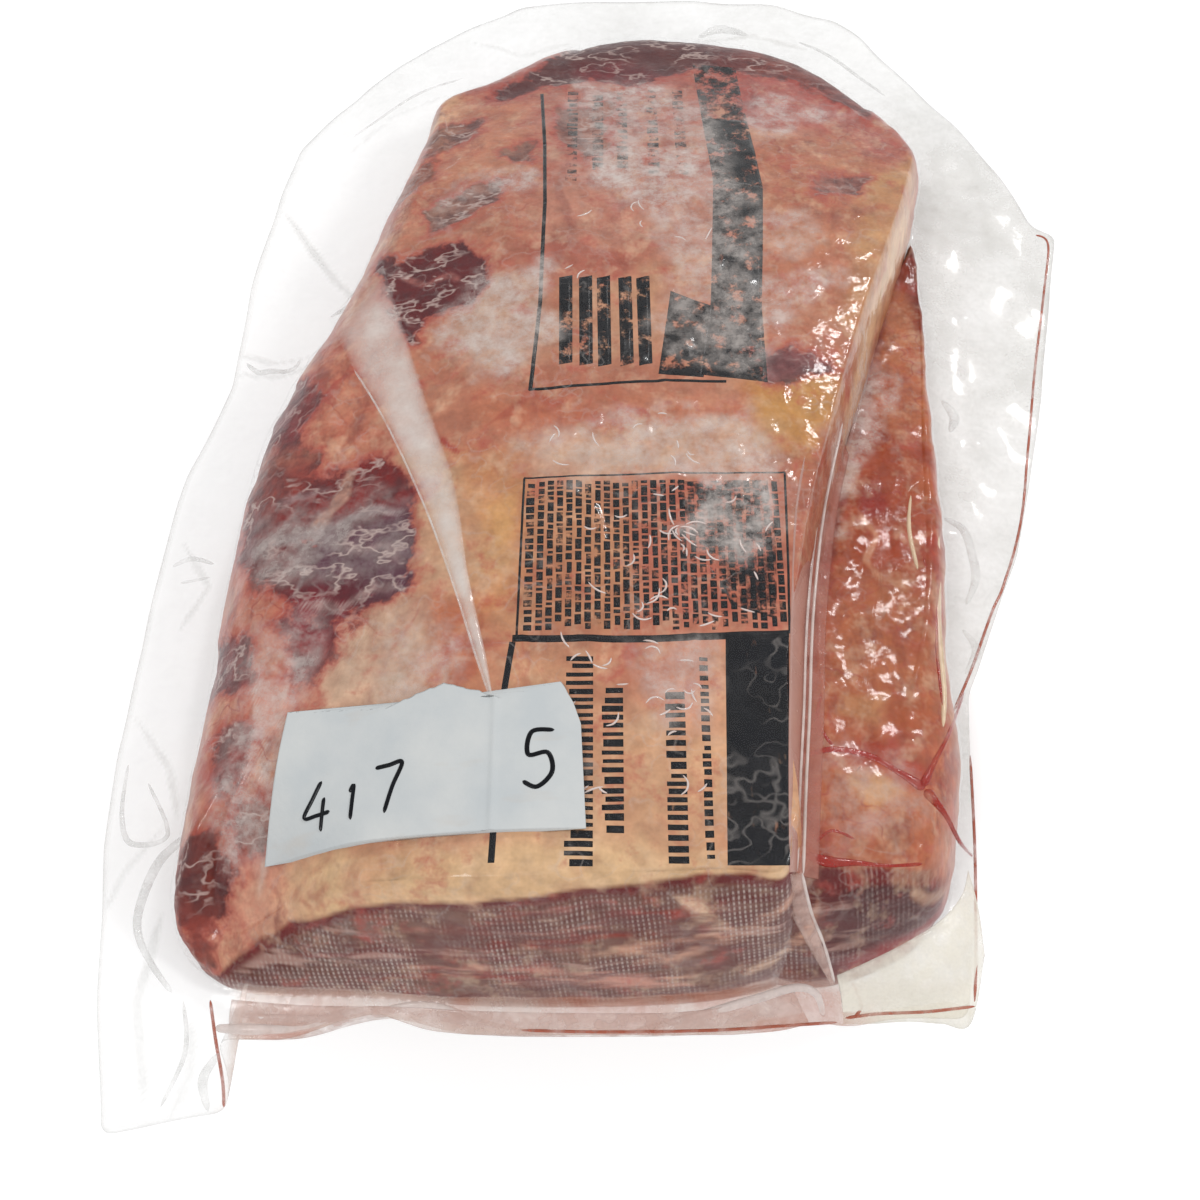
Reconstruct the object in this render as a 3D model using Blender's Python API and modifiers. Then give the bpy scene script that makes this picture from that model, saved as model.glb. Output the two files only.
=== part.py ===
"""Raw beef brisket in a clear vacuum bag, with a torn paper label stuck on top.

The pack is one closed solid. Its slab is two muscles lying on each other, cut square at the near end and
rounded at the far end, and the film is shrunk on so tightly that meat and film share one outer shape. The
flat film left over lies round it. The paper label is a second solid, on the fat cap. Metres, +Z up, the cut
face towards -Y, the origin under the middle of the pack on the surface that it rests on.
"""

import bmesh
import bpy
import numpy as np

MM = 0.001

# Driving heights of the brisket slab above the table, in millimetres.
CAP_TOP = 48.0  # crown of the upper muscle's fat cap
CAP_NEAR_TOP = 43.5  # fat cap where it meets the cut face
CAP_FAR_TOP = 25.0  # top of the thin far end
CAP_LEFT_FALL = 11.0  # how far the cap has sunk at its left shoulder
CAP_RIGHT_FALL = 2.0
CAP_CORNER_FALL = 26.0  # extra sink at the near left corner
LEDGE_NEAR_TOP = 33.0  # lower muscle at the cut face
LEDGE_FAR_TOP = 16.0  # lower muscle where it runs out under the fat cap
LEDGE_BASE = 0.3  # underside of the lower muscle, just clear of the plane that the upper one rests on

# Between which places along X or Y each of those changes of height happens.
CAP_NEAR_RISE_Y = (-165.0, -70.0)
CAP_FAR_FALL_Y = (10.0, 165.0)
CAP_LEFT_X = (-20.0, -100.0)
CAP_RIGHT_X = (40.0, 90.0)
CAP_CORNER_X = (-62.0, -108.0)
CAP_CORNER_Y = (-120.0, -168.0)
LEDGE_FALL_Y = (-140.0, 70.0)

# Widest outline of each muscle, anticlockwise from its near left corner:
# x, y, run of the side wall from shoulder to rim, height of the rim, roundness of the wall.
CAP_HEART = (-12.0, -12.0)  # plan point that the muscle's rings close on
CAP_RIM = (
    (-105, -166, 10, 4, 1.6),
    (-92, -170, 15, 3, 1.3),
    (-66, -171, 16, 3, 1.2),
    (-36, -173, 17, 3, 1.2),
    (-4, -173, 18, 3, 1.2),
    (20, -171, 17, 3, 1.2),
    (34, -166, 12, 4, 1.3),
    (38, -152, 8, 7, 1.5),
    (37, -128, 7, 8, 1.5),
    (41, -94, 7, 8, 1.5),
    (50, -52, 7, 8, 1.5),
    (68, 6, 7, 9, 1.5),
    (86, 60, 6, 11, 1.7),
    (89, 80, 9, 14, 2.0),
    (80, 106, 16, 14, 2.0),
    (60, 136, 22, 14, 2.0),
    (30, 152, 26, 13, 2.0),
    (0, 157, 28, 12, 2.0),
    (-26, 150, 24, 11, 2.0),
    (-48, 134, 18, 10, 2.0),
    (-66, 125, 12, 9, 2.0),
    (-70, 104, 14, 10, 2.0),
    (-79, 70, 18, 11, 2.0),
    (-88, 34, 24, 12, 2.0),
    (-105, -10, 28, 12, 2.0),
    (-112, -54, 30, 12, 2.0),
    (-113, -98, 30, 12, 2.0),
    (-114, -134, 26, 11, 2.0),
    (-113, -156, 16, 7, 2.0),
)
LEDGE_HEART = (50.0, -125.0)
LEDGE_RIM = (
    (8, -158, 10, 5, 1.5),
    (32, -168, 14, 3, 1.3),
    (54, -165, 14, 3, 1.3),
    (72, -151, 13, 5, 1.7),
    (79, -118, 15, 11, 2.0),
    (80, -84, 16, 12, 2.0),
    (84, -42, 16, 12, 2.0),
    (85, 2, 14, 12, 2.0),
    (88, 46, 10, 10, 2.0),
    (87, 68, 6, 8, 2.0),
    (78, 50, 6, 8, 2.0),
    (61, 2, 10, 8, 2.0),
    (44, -50, 12, 8, 2.0),
    (34, -96, 13, 8, 2.0),
    (29, -120, 13, 8, 2.0),
    (14, -140, 13, 7, 2.0),
)
LEAST_SLANT = 0.55  # limit on how far a side wall's run is stretched where the rings cross it at a slant
TOE_RUN = 0.45  # how far an underside rolls in below its rim, as a share of the rim's height

# Where down a muscle's skin, from the top's middle (0) to the underside's (1), its parts end.
TOP_SHARE = 0.52
WALL_SHARE = 0.80
TOE_SHARE = 0.88
TOP_SPREAD = 0.9  # under 1, this packs the top's rings closer towards the shoulder
CAP_SEGMENTS = 100
CAP_RINGS = 36
LEDGE_SEGMENTS = 64
LEDGE_RINGS = 24
RIM_SAMPLES = 480

# Corners of the flat film round the slab, anticlockwise from the near right corner of its long tail.
FILM_CORNERS = (
    (-98, -197),
    (-97, -181),
    (-84, -181),
    (-64, -177),
    (-42, -180),
    (20, -180),
    (48, -178),
    (75, -176),
    (79, -158),
    (84, -108),
    (86, -90),
    (100, -58),
    (114, -17),
    (127, 34),
    (137, 82),
    (124, 108),
    (96, 158),
    (73, 192),
    (50, 200),
    (10, 202),
    (-40, 199),
    (-73, 176),
    (-93, 154),
    (-114, 124),
    (-123, 58),
    (-123, 18),
    (-132, -17),
    (-136, -74),
    (-137, -110),
    (-133, -155),
    (-125, -202),
)
FILM_STEP = 13.0  # spacing of the film's edge points
FILM_RINGS = 7
FILM_THICK = 1.2
FILM_CLEAR = 0.1  # air under the lowest film
FILM_ROOT = 12.0  # how far inside the slab's rim the film's solid starts
FILM_LIFT = 6.0  # height at which the film leaves the slab's side
FILM_FALL = 15.0  # distance over which it drops to the table
WAVE_HEIGHT = 1.1
WAVE_X = 0.16  # radians of wave per millimetre
WAVE_Y = 0.13
WAVE_START = (4.0, 20.0)  # distances from the slab between which the waves grow
WELD = 0.01

# Paper label on the fat cap: its near corners and, from left to right, the points of its torn far edge.
LABEL_NEAR = ((-90.0, -146.5), (-14.7, -145.6))
LABEL_TORN = (
    (-86.2, -112.3),
    (-61.8, -113.9),
    (-48.4, -108.9),
    (-34.9, -113.6),
    (-20.7, -109.5),
    (-16.0, -120.4),
)
LABEL_THICK = 0.5
LABEL_GAP = 0.8  # clear of the faceted fat cap
LABEL_GRID = (26, 9)


def clear_scene():
    for obj in list(bpy.data.objects):
        bpy.data.objects.remove(obj)


def smooth(low, high, value):
    """0 below low, 1 above high, and a smooth cubic between."""
    t = np.clip((value - low) / (high - low), 0.0, 1.0)
    return t * t * (3.0 - 2.0 * t)


def closed_spline(rows, turn):
    """Catmull-Rom curve through rows, as a closed loop; turn runs from 0 to 1 once round."""
    rows = np.asarray(rows, float)
    count = len(rows)
    place = (turn % 1.0) * count
    index = np.floor(place).astype(int)
    t = (place - index)[:, None]
    a, b, c, d = (rows[(index + k) % count] for k in (-1, 0, 1, 2))
    cubic = (3 * b - a - 3 * c + d) * t**3
    return 0.5 * (2 * b + (c - a) * t + (2 * a - 5 * b + 4 * c - d) * t**2 + cubic)


def cap_top(x, y):
    """Height of the upper muscle's upper face at plan point x, y."""
    height = CAP_NEAR_TOP + (CAP_TOP - CAP_NEAR_TOP) * smooth(*CAP_NEAR_RISE_Y, y)
    height = height - (CAP_TOP - CAP_FAR_TOP) * smooth(*CAP_FAR_FALL_Y, y) ** 1.2
    height = height - CAP_LEFT_FALL * smooth(*CAP_LEFT_X, x) ** 1.3
    height = height - CAP_CORNER_FALL * smooth(*CAP_CORNER_X, x) * smooth(*CAP_CORNER_Y, y)
    return height - CAP_RIGHT_FALL * smooth(*CAP_RIGHT_X, x)


def ledge_top(x, y):
    """Height of the lower muscle's upper face, which falls along Y and is level along X."""
    return LEDGE_NEAR_TOP + (LEDGE_FAR_TOP - LEDGE_NEAR_TOP) * smooth(*LEDGE_FALL_Y, y)


def muscle_point(rim_rows, heart, top, base, turn, depth):
    """Point of a muscle's skin, at turn round it and depth from its top's middle to its underside's."""
    rim = closed_spline(rim_rows, turn)
    step = 0.25 / len(rim_rows)
    along = (closed_spline(rim_rows, turn + step) - closed_spline(rim_rows, turn - step))[:, :2]
    inward = np.stack([-along[:, 1], along[:, 0]], 1)
    inward /= np.linalg.norm(inward, axis=1)[:, None]
    edge, run, rim_z, power = rim[:, :2], rim[:, 2], rim[:, 3], rim[:, 4]
    heart = np.array(heart)
    toward = (heart - edge) / np.linalg.norm(heart - edge, axis=1)[:, None]
    slant = 1.0 / np.maximum((toward * inward).sum(axis=1), LEAST_SLANT)
    shoulder = edge + toward * (run * slant)[:, None]
    foot = edge + toward * (rim_z * TOE_RUN * slant)[:, None]

    across = np.clip(depth / TOP_SHARE, 0.0, 1.0)[:, None]
    plan = heart + (shoulder - heart) * across**TOP_SPREAD
    height = top(plan[:, 0], plan[:, 1])

    wall = np.clip((depth - TOP_SHARE) / (WALL_SHARE - TOP_SHARE), 0.0, 1.0) * np.pi / 2
    out = np.sin(wall) ** (2 / power)
    up = np.abs(np.cos(wall)) ** (2 / power)
    plan = plan + (edge - shoulder) * out[:, None]
    height = rim_z + (height - rim_z) * up

    toe = np.clip((depth - WALL_SHARE) / (TOE_SHARE - WALL_SHARE), 0.0, 1.0) * np.pi / 2
    plan = plan + (foot - edge) * (1 - np.cos(toe))[:, None]
    height = base + (height - base) * (1 - np.sin(toe))

    under = np.clip((depth - TOE_SHARE) / (1 - TOE_SHARE), 0.0, 1.0)[:, None]
    plan = plan + (heart - foot) * under
    return np.column_stack([plan, height])


def coordinates(bm):
    return np.array([v.co for v in bm.verts])


def move_vertices(bm, points):
    for vertex, point in zip(bm.verts, points * MM):
        vertex.co = point


def make_material(name, colour, roughness):
    material = bpy.data.materials.new(name)
    material.use_nodes = True
    shader = material.node_tree.nodes["Principled BSDF"]
    shader.inputs["Base Color"].default_value = (*colour, 1.0)
    shader.inputs["Roughness"].default_value = roughness
    return material


def add_object(name, bm, collection):
    mesh = bpy.data.meshes.new(name)
    bm.to_mesh(mesh)
    bm.free()
    obj = bpy.data.objects.new(name, mesh)
    collection.objects.link(obj)
    return obj


def make_muscle(name, rim_rows, heart, top, base, segments, rings, collection):
    """A UV sphere: longitudes run round the muscle's rim, latitudes cross its top, wall and underside."""
    bm = bmesh.new()
    bmesh.ops.create_uvsphere(bm, u_segments=segments, v_segments=rings, radius=1.0)
    ball = coordinates(bm)
    turn = np.arctan2(ball[:, 1], ball[:, 0]) / (2 * np.pi)
    depth = np.arccos(np.clip(ball[:, 2], -1.0, 1.0)) / np.pi
    move_vertices(bm, muscle_point(rim_rows, heart, top, base, turn, depth))
    return add_object(name, bm, collection)


def film_edge():
    """Film outline as evenly spaced points between its corners."""
    points = []
    for start, end in zip(FILM_CORNERS, FILM_CORNERS[1:] + FILM_CORNERS[:1]):
        start, end = np.array(start, float), np.array(end, float)
        count = max(1, round(np.linalg.norm(end - start) / FILM_STEP))
        points += [start + (end - start) * k / count for k in range(count)]
    return np.array(points)


def rims():
    """Plan points of both muscles' rims."""
    turn = np.linspace(0.0, 1.0, RIM_SAMPLES, endpoint=False)
    return np.vstack([closed_spline(CAP_RIM, turn)[:, :2], closed_spline(LEDGE_RIM, turn)[:, :2]])


def thicken(obj, thickness):
    solid = obj.modifiers.new("thickness", "SOLIDIFY")
    solid.thickness = thickness * MM
    solid.offset = 0.0


def make_film(collection):
    """The flat film left over: a ring of sheet that leaves the slab's side and falls to the table."""
    edge = film_edge()
    rim = rims()
    nearest = rim[np.linalg.norm(edge[:, None, :] - rim[None, :, :], axis=2).argmin(axis=1)]
    inward = (nearest - edge) / np.linalg.norm(nearest - edge, axis=1)[:, None]
    root = nearest + inward * FILM_ROOT
    bm = bmesh.new()
    bmesh.ops.create_grid(bm, x_segments=len(edge), y_segments=FILM_RINGS, size=1.0)
    grid = (coordinates(bm) + 1) / 2
    index = np.rint(grid[:, 0] * len(edge)).astype(int) % len(edge)
    plan = root[index] + (edge[index] - root[index]) * grid[:, 1:2]
    gap = np.linalg.norm(plan[:, None, :] - rim[None, :, :], axis=2).min(axis=1)
    wave = WAVE_HEIGHT * (1 + np.sin(plan[:, 0] * WAVE_X) * np.cos(plan[:, 1] * WAVE_Y))
    low = FILM_THICK / 2 + FILM_CLEAR
    height = low + FILM_LIFT * np.exp(-gap / FILM_FALL) + wave * smooth(*WAVE_START, gap)
    move_vertices(bm, np.column_stack([plan, height]))
    bmesh.ops.remove_doubles(bm, verts=bm.verts, dist=WELD * MM)
    thicken(add_object("film", bm, collection), FILM_THICK)


def join(target, collection):
    """One Boolean union of the target with the collection's objects, applied; the objects are then removed."""
    union = target.modifiers.new("union", "BOOLEAN")
    union.operation = "UNION"
    union.operand_type = "COLLECTION"
    union.collection = collection
    union.solver = "MANIFOLD"
    bpy.context.view_layer.update()
    graph = bpy.context.evaluated_depsgraph_get()
    mesh = bpy.data.meshes.new_from_object(target.evaluated_get(graph))
    target.modifiers.clear()
    target.data = mesh
    for obj in list(collection.objects):
        bpy.data.objects.remove(obj)
    bpy.data.collections.remove(collection)


def make_label(collection):
    """Paper label: a sheet that follows the fat cap just above it."""
    bm = bmesh.new()
    bmesh.ops.create_grid(bm, x_segments=LABEL_GRID[0], y_segments=LABEL_GRID[1], size=1.0)
    grid = (coordinates(bm) + 1) / 2
    across, up = grid[:, :1], grid[:, 1:2]
    near = np.array(LABEL_NEAR[0]) * (1 - across) + np.array(LABEL_NEAR[1]) * across
    torn_x, torn_y = np.array(LABEL_TORN).T
    share = (torn_x - torn_x[0]) / (torn_x[-1] - torn_x[0])
    far = np.column_stack([np.interp(across[:, 0], share, torn) for torn in (torn_x, torn_y)])
    plan = near * (1 - up) + far * up
    height = cap_top(plan[:, 0], plan[:, 1]) + LABEL_GAP + LABEL_THICK / 2
    move_vertices(bm, np.column_stack([plan, height]))
    label = add_object("paper_label", bm, collection)
    thicken(label, LABEL_THICK)
    return label


def build():
    clear_scene()
    parts = bpy.data.collections.new("packed_brisket")
    added = bpy.data.collections.new("added_parts")
    bpy.context.scene.collection.children.link(parts)
    bpy.context.scene.collection.children.link(added)
    pack = make_muscle("brisket_pack", CAP_RIM, CAP_HEART, cap_top, 0.0, CAP_SEGMENTS, CAP_RINGS, parts)
    make_muscle("ledge", LEDGE_RIM, LEDGE_HEART, ledge_top, LEDGE_BASE, LEDGE_SEGMENTS, LEDGE_RINGS, added)
    make_film(added)
    join(pack, added)
    pack.data.materials.append(make_material("meat_under_film", (0.48, 0.24, 0.15), 0.25))
    label = make_label(parts)
    label.data.materials.append(make_material("label_paper", (0.57, 0.60, 0.60), 0.8))


build()
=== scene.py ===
"""Raw beef brisket in a clear vacuum bag, with a torn paper label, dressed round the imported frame.

Two muscles lie on each other and clear film is shrunk over both. Each muscle is a closed skin on a grid of
two parameters: the turn round its rim, and the depth from the middle of its top, over the shoulder, down the
side wall and under to the middle of its underside. The top's height is a product of smooth steps along X and
Y, the wall is a quarter of a superellipse, and lumps of smooth noise are added. The film is the same skin
moved out, and what lies on it, such as print, pleats and label, follows its height. Sizes are in millimetres.
"""

import bpy
import numpy as np
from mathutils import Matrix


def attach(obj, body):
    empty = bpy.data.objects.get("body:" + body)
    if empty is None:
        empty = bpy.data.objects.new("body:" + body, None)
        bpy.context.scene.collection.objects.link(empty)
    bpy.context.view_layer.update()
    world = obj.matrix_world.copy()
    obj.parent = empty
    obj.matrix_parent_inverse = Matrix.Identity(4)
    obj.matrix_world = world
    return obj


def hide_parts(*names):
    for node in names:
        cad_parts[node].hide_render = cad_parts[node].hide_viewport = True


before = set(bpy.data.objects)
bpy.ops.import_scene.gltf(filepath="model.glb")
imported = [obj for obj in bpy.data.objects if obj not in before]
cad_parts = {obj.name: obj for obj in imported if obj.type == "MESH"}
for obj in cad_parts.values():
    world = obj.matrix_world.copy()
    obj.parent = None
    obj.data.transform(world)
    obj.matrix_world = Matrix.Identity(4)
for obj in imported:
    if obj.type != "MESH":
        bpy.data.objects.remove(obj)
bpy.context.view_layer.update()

# Upper muscle
# The thick slab of lean under its fat cap, cut square at the near end and rounded at the far end. The fat is
# pale and lumpy, with islands of dark lean where the knife went too deep.
MM = 0.001
CAP_TOP = 48.0
CAP_NEAR_TOP = 43.5
CAP_FAR_TOP = 25.0
CAP_LEFT_FALL = 11.0
CAP_RIGHT_FALL = 2.0
CAP_CORNER_FALL = 26.0
CAP_FAR_POWER = 1.2
CAP_LEFT_POWER = 1.3
CAP_NEAR_RISE_Y = (-165.0, -70.0)
CAP_FAR_FALL_Y = (10.0, 165.0)
CAP_LEFT_X = (-20.0, -100.0)
CAP_RIGHT_X = (40.0, 90.0)
CAP_CORNER_X = (-62.0, -108.0)
CAP_CORNER_Y = (-120.0, -168.0)
CAP_HEART = (-12.0, -12.0)
# Widest outline, anticlockwise from the near left corner: x, y, run of the wall, height of the rim,
# roundness.
CAP_RIM = (
    (-105, -166, 10, 4, 1.6), (-92, -170, 15, 3, 1.3), (-66, -171, 16, 3, 1.2), (-36, -173, 17, 3, 1.2),
    (-4, -173, 18, 3, 1.2), (20, -171, 17, 3, 1.2), (34, -166, 12, 4, 1.3), (38, -152, 8, 7, 1.5),
    (37, -128, 7, 8, 1.5), (41, -94, 7, 8, 1.5), (50, -52, 7, 8, 1.5), (68, 8, 7, 9, 1.5),
    (86, 66, 6, 12, 1.7), (90, 88, 9, 15, 2), (82, 113, 15, 15, 2), (62, 142, 20, 15, 2),
    (32, 157, 24, 14, 2), (0, 162, 25, 13, 2), (-27, 154, 22, 12, 2), (-49, 136, 17, 11, 2),
    (-66, 125, 12, 9, 2), (-70, 104, 14, 10, 2), (-79, 70, 18, 11, 2), (-88, 34, 24, 12, 2),
    (-105, -10, 28, 12, 2), (-112, -54, 30, 12, 2), (-113, -98, 30, 12, 2), (-114, -134, 26, 11, 2),
    (-113, -156, 16, 7, 2),
)
LEAST_SLANT = 0.55
TOE_RUN = 0.45
TOP_SHARE = 0.52
WALL_SHARE = 0.80
TOE_SHARE = 0.88
TOP_SPREAD = 0.9
BLEND_ABOVE = 0.02
BLEND_BELOW = 0.12
NEAR_FACE_Y = -158.0
LATTICE = 64
OCTAVE_SHIFT = (11.3, 7.9)
# Height, size, seed and octaves of each set of lumps, and how far they are sunk in all.
CAP_LUMPS = ((0.8, 44, 11, 2), (0.5, 15, 12, 3), (0.3, 6, 13, 3))
CAP_SUNK = 0.9
# Share of the meat's colour that the film lets through, and the light that it adds.
FILM_LOSS = 0.95
FILM_SHEEN = 0.022
LEAST_COLOUR, MOST_COLOUR = 0.004, 0.96


def smooth(low, high, value):
    """0 below low, 1 above high, and a smooth cubic between."""
    t = np.clip((value - low) / (high - low), 0.0, 1.0)
    return t * t * (3.0 - 2.0 * t)


def spline(rows, place, closed):
    """Catmull-Rom curve through rows; place counts rows from 0, and a closed curve comes back to its
    first."""
    rows = np.asarray(rows, float)
    count = len(rows)
    index = np.floor(place).astype(int)
    t = (place - index)[:, None]
    if closed:
        a, b, c, d = (rows[(index + k) % count] for k in (-1, 0, 1, 2))
    else:
        a, b, c, d = (rows[np.clip(index + k, 0, count - 1)] for k in (-1, 0, 1, 2))
    cubic = (3 * b - a - 3 * c + d) * t**3
    return 0.5 * (2 * b + (c - a) * t + (2 * a - 5 * b + 4 * c - d) * t**2 + cubic)


def ripple(x, y, size, seed, octaves=2):
    """Smooth noise from -1 to 1: random heights on a square lattice of that size, joined by a smooth step
    along each axis; every further octave is half as large and half as high."""
    heights = np.random.default_rng(seed).uniform(-1.0, 1.0, (LATTICE, LATTICE))
    total, weight = 0.0, 0.0
    for octave in range(octaves):
        share = 0.5**octave
        u = x / (size * share) + OCTAVE_SHIFT[0] * octave
        v = y / (size * share) + OCTAVE_SHIFT[1] * octave
        i, j = np.floor(u).astype(int), np.floor(v).astype(int)
        s, t = smooth(0.0, 1.0, u - i), smooth(0.0, 1.0, v - j)
        a, b = i % LATTICE, (i + 1) % LATTICE
        low, high = (heights[a, k % LATTICE] * (1 - s) + heights[b, k % LATTICE] * s for k in (j, j + 1))
        total = total + share * (low * (1 - t) + high * t)
        weight += share
    return total / weight


def cap_top(x, y):
    """Height of the upper muscle's top: its crown less the smooth falls towards each side."""
    height = CAP_NEAR_TOP + (CAP_TOP - CAP_NEAR_TOP) * smooth(*CAP_NEAR_RISE_Y, y)
    height = height - (CAP_TOP - CAP_FAR_TOP) * smooth(*CAP_FAR_FALL_Y, y) ** CAP_FAR_POWER
    height = height - CAP_LEFT_FALL * smooth(*CAP_LEFT_X, x) ** CAP_LEFT_POWER
    height = height - CAP_CORNER_FALL * smooth(*CAP_CORNER_X, x) * smooth(*CAP_CORNER_Y, y)
    return height - CAP_RIGHT_FALL * smooth(*CAP_RIGHT_X, x)


def muscle_skin(rim_rows, heart, top, base, turn, depth):
    """Points of a muscle's skin, rows of depth by columns of turn: rings spread from the heart to the
    shoulder at the top's height, a quarter superellipse drops to the rim, a quarter circle rolls in, and
    rings close below."""
    count = len(rim_rows)
    rim = spline(rim_rows, turn * count, True)
    along = spline(rim_rows, turn * count + 0.25, True) - spline(rim_rows, turn * count - 0.25, True)
    inward = np.stack([-along[:, 1], along[:, 0]], 1)
    inward /= np.linalg.norm(inward, axis=1)[:, None]
    edge, run, rim_z, power = rim[:, :2], rim[:, 2], rim[:, 3], rim[:, 4]
    toward = np.array(heart) - edge
    toward /= np.linalg.norm(toward, axis=1)[:, None]
    slant = 1.0 / np.maximum((toward * inward).sum(axis=1), LEAST_SLANT)
    shoulder = edge + toward * (run * slant)[:, None]
    foot = edge + toward * (rim_z * TOE_RUN * slant)[:, None]
    depth = depth[:, None]
    across = np.clip(depth / TOP_SHARE, 0.0, 1.0) ** TOP_SPREAD
    plan = np.array(heart) + (shoulder - heart) * across[..., None]
    height = top(plan[..., 0], plan[..., 1])
    wall = np.clip((depth - TOP_SHARE) / (WALL_SHARE - TOP_SHARE), 0.0, 1.0) * np.pi / 2
    plan = plan + (edge - shoulder) * (np.sin(wall) ** (2 / power))[..., None]
    height = rim_z + (height - rim_z) * np.abs(np.cos(wall)) ** (2 / power)
    toe = np.clip((depth - WALL_SHARE) / (TOE_SHARE - WALL_SHARE), 0.0, 1.0) * np.pi / 2
    plan = plan + (foot - edge) * (1 - np.cos(toe))[..., None]
    height = base + (height - base) * (1 - np.sin(toe))
    under = np.clip((depth - TOE_SHARE) / (1 - TOE_SHARE), 0.0, 1.0)
    plan = plan + (heart - foot) * under[..., None]
    return np.dstack([plan, height])


def outward(skin):
    """Unit normals of a skin whose columns run round it and whose rows run down it."""
    down = np.gradient(skin, axis=0)
    round_it = np.roll(skin, -1, axis=1) - np.roll(skin, 1, axis=1)
    normal = np.cross(down, round_it)
    return normal / np.maximum(np.linalg.norm(normal, axis=2), 1e-9)[..., None]


def move_out(skin, depth, distance):
    """The skin moved out by distance: straight up on the top, along its normal on the wall, not at all
    below."""
    wall = smooth(TOP_SHARE - BLEND_ABOVE, TOP_SHARE + BLEND_BELOW, depth)[:, None, None]
    direction = outward(skin) * wall + np.array([0.0, 0.0, 1.0]) * (1 - wall)
    direction /= np.linalg.norm(direction, axis=2)[..., None]
    free = 1 - smooth(WALL_SHARE, TOE_SHARE, depth)[:, None]
    return skin + direction * (distance * free)[..., None]


def depths(top, wall, toe, under):
    """Depths of a skin's rings, without its two poles, with the given number of rings on each of its
    parts."""
    stops = (0.0, TOP_SHARE, WALL_SHARE, TOE_SHARE, 1.0)
    parts = [np.linspace(a, b, n, endpoint=False) for a, b, n in zip(stops, stops[1:],
     (top, wall, toe, under))]
    return np.concatenate(parts)[1:]


def even_turns(rim_rows, count, favour):
    """Turns evenly spaced along a rim, closer together by a factor where it faces the near edge."""
    fine = np.linspace(0.0, 1.0, 4001)
    rim = spline(rim_rows, fine * len(rim_rows), True)
    step = np.linalg.norm(np.diff(rim[:, :2], axis=0), axis=1)
    step = step * np.where(rim[1:, 1] < NEAR_FACE_Y, favour, 1.0)
    length = np.concatenate([[0.0], np.cumsum(step)])
    return np.interp(np.linspace(0.0, length[-1], count, endpoint=False), length, fine)


def skins(muscle, rings, count, favour, relief):
    """A muscle's plain skin, and the same skin moved out by its relief; rings and count set how fine it
    is."""
    depth = depths(*rings)
    plain = muscle_skin(*muscle, even_turns(muscle[0], count, favour), depth)
    return plain, move_out(plain, depth, relief(*np.moveaxis(plain, 2, 0)))


def lumps(x, y, z, rows, sunk):
    """Height of soft lumps: the sum of one ripple for each row, less the depth that they are sunk."""
    u, v = x + 0.8 * z, y + z
    return sum(height * ripple(u, v, *row) for height, *row in rows) - sunk


def cap_lumps(x, y, z):
    """Lumps of the fat cap, at most about 0.4 above its plain top and 2 below."""
    return lumps(x, y, z, CAP_LUMPS, CAP_SUNK)


def surface(grid, ring=False):
    """Vertices and faces over a grid of points whose columns close on themselves: quads between neighbours.
    A ring's rows close too; without it, each end row is closed by a fan to its middle."""
    rows, columns = grid.shape[:2]
    index = np.arange(rows * columns).reshape(rows, columns)
    wide = np.vstack([index, index[:1]]) if ring else index
    wide = np.hstack([wide, wide[:, :1]])
    quads = np.stack([wide[:-1, :-1], wide[1:, :-1], wide[1:, 1:], wide[:-1, 1:]], -1).reshape(-1, 4)
    points, faces = [grid.reshape(-1, 3)], quads.tolist()
    if not ring:
        for pole, (row, order) in enumerate(((0, 1), (-1, -1))):
            middle = np.full(columns, rows * columns + pole)
            fan = np.stack([middle, index[row], np.roll(index[row], -1)][::order], -1)
            points.append(grid[row].mean(axis=0)[None])
            faces += fan.tolist()
    return np.concatenate(points), faces


def piece(name, parts, material, replaced=None):
    """One object from several surfaces, smooth shaded, riding on the root body."""
    points, faces, count = [], [], 0
    for part_points, part_faces in parts:
        points.append(part_points)
        faces += [[corner + count for corner in face] for face in part_faces] if count else part_faces
        count += len(part_points)
    mesh = bpy.data.meshes.new(name)
    mesh.from_pydata((np.concatenate(points) * MM).astype(np.float32), [], faces)
    mesh.shade_smooth()
    mesh.materials.append(material)
    obj = bpy.data.objects.new(name, mesh)
    bpy.context.scene.collection.objects.link(obj)
    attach(obj, "root")
    if replaced:
        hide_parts(replaced)
    return obj


def linear(tint):
    """Scene colour, by the sRGB curve, of a tint given as red, green and blue from 0 to 255."""
    share = np.array(tint, float) / 255
    return np.where(share > 0.04045, ((share + 0.055) / 1.055) ** 2.4, share / 12.92)


def with_poles(obj, grid):
    """One value for each vertex, from a grid of values; a pole's vertex takes its ring's mean."""
    rows = grid.reshape(-1, *grid.shape[2:])
    poles = [grid[0].mean(axis=0), grid[-1].mean(axis=0)] if len(obj.data.vertices) > len(rows) else []
    return np.concatenate([rows, *(pole[None] for pole in poles)])


def keep_colour(obj, name, colours, gain=FILM_LOSS, sheen=FILM_SHEEN):
    """Stores one colour for each vertex, less what the film adds."""
    rows = with_poles(obj, np.clip(colours * gain - sheen, LEAST_COLOUR, MOST_COLOUR))
    layer = obj.data.color_attributes.new(name, "FLOAT_COLOR", "POINT")
    layer.data.foreach_set("color", np.column_stack([rows, np.ones(len(rows))]).astype(np.float32).ravel())


def keep_share(obj, name, shares):
    """Stores one number for each vertex."""
    layer = obj.data.attributes.new(name, "FLOAT", "POINT")
    layer.data.foreach_set("value", with_poles(obj, shares).astype(np.float32))


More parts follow.
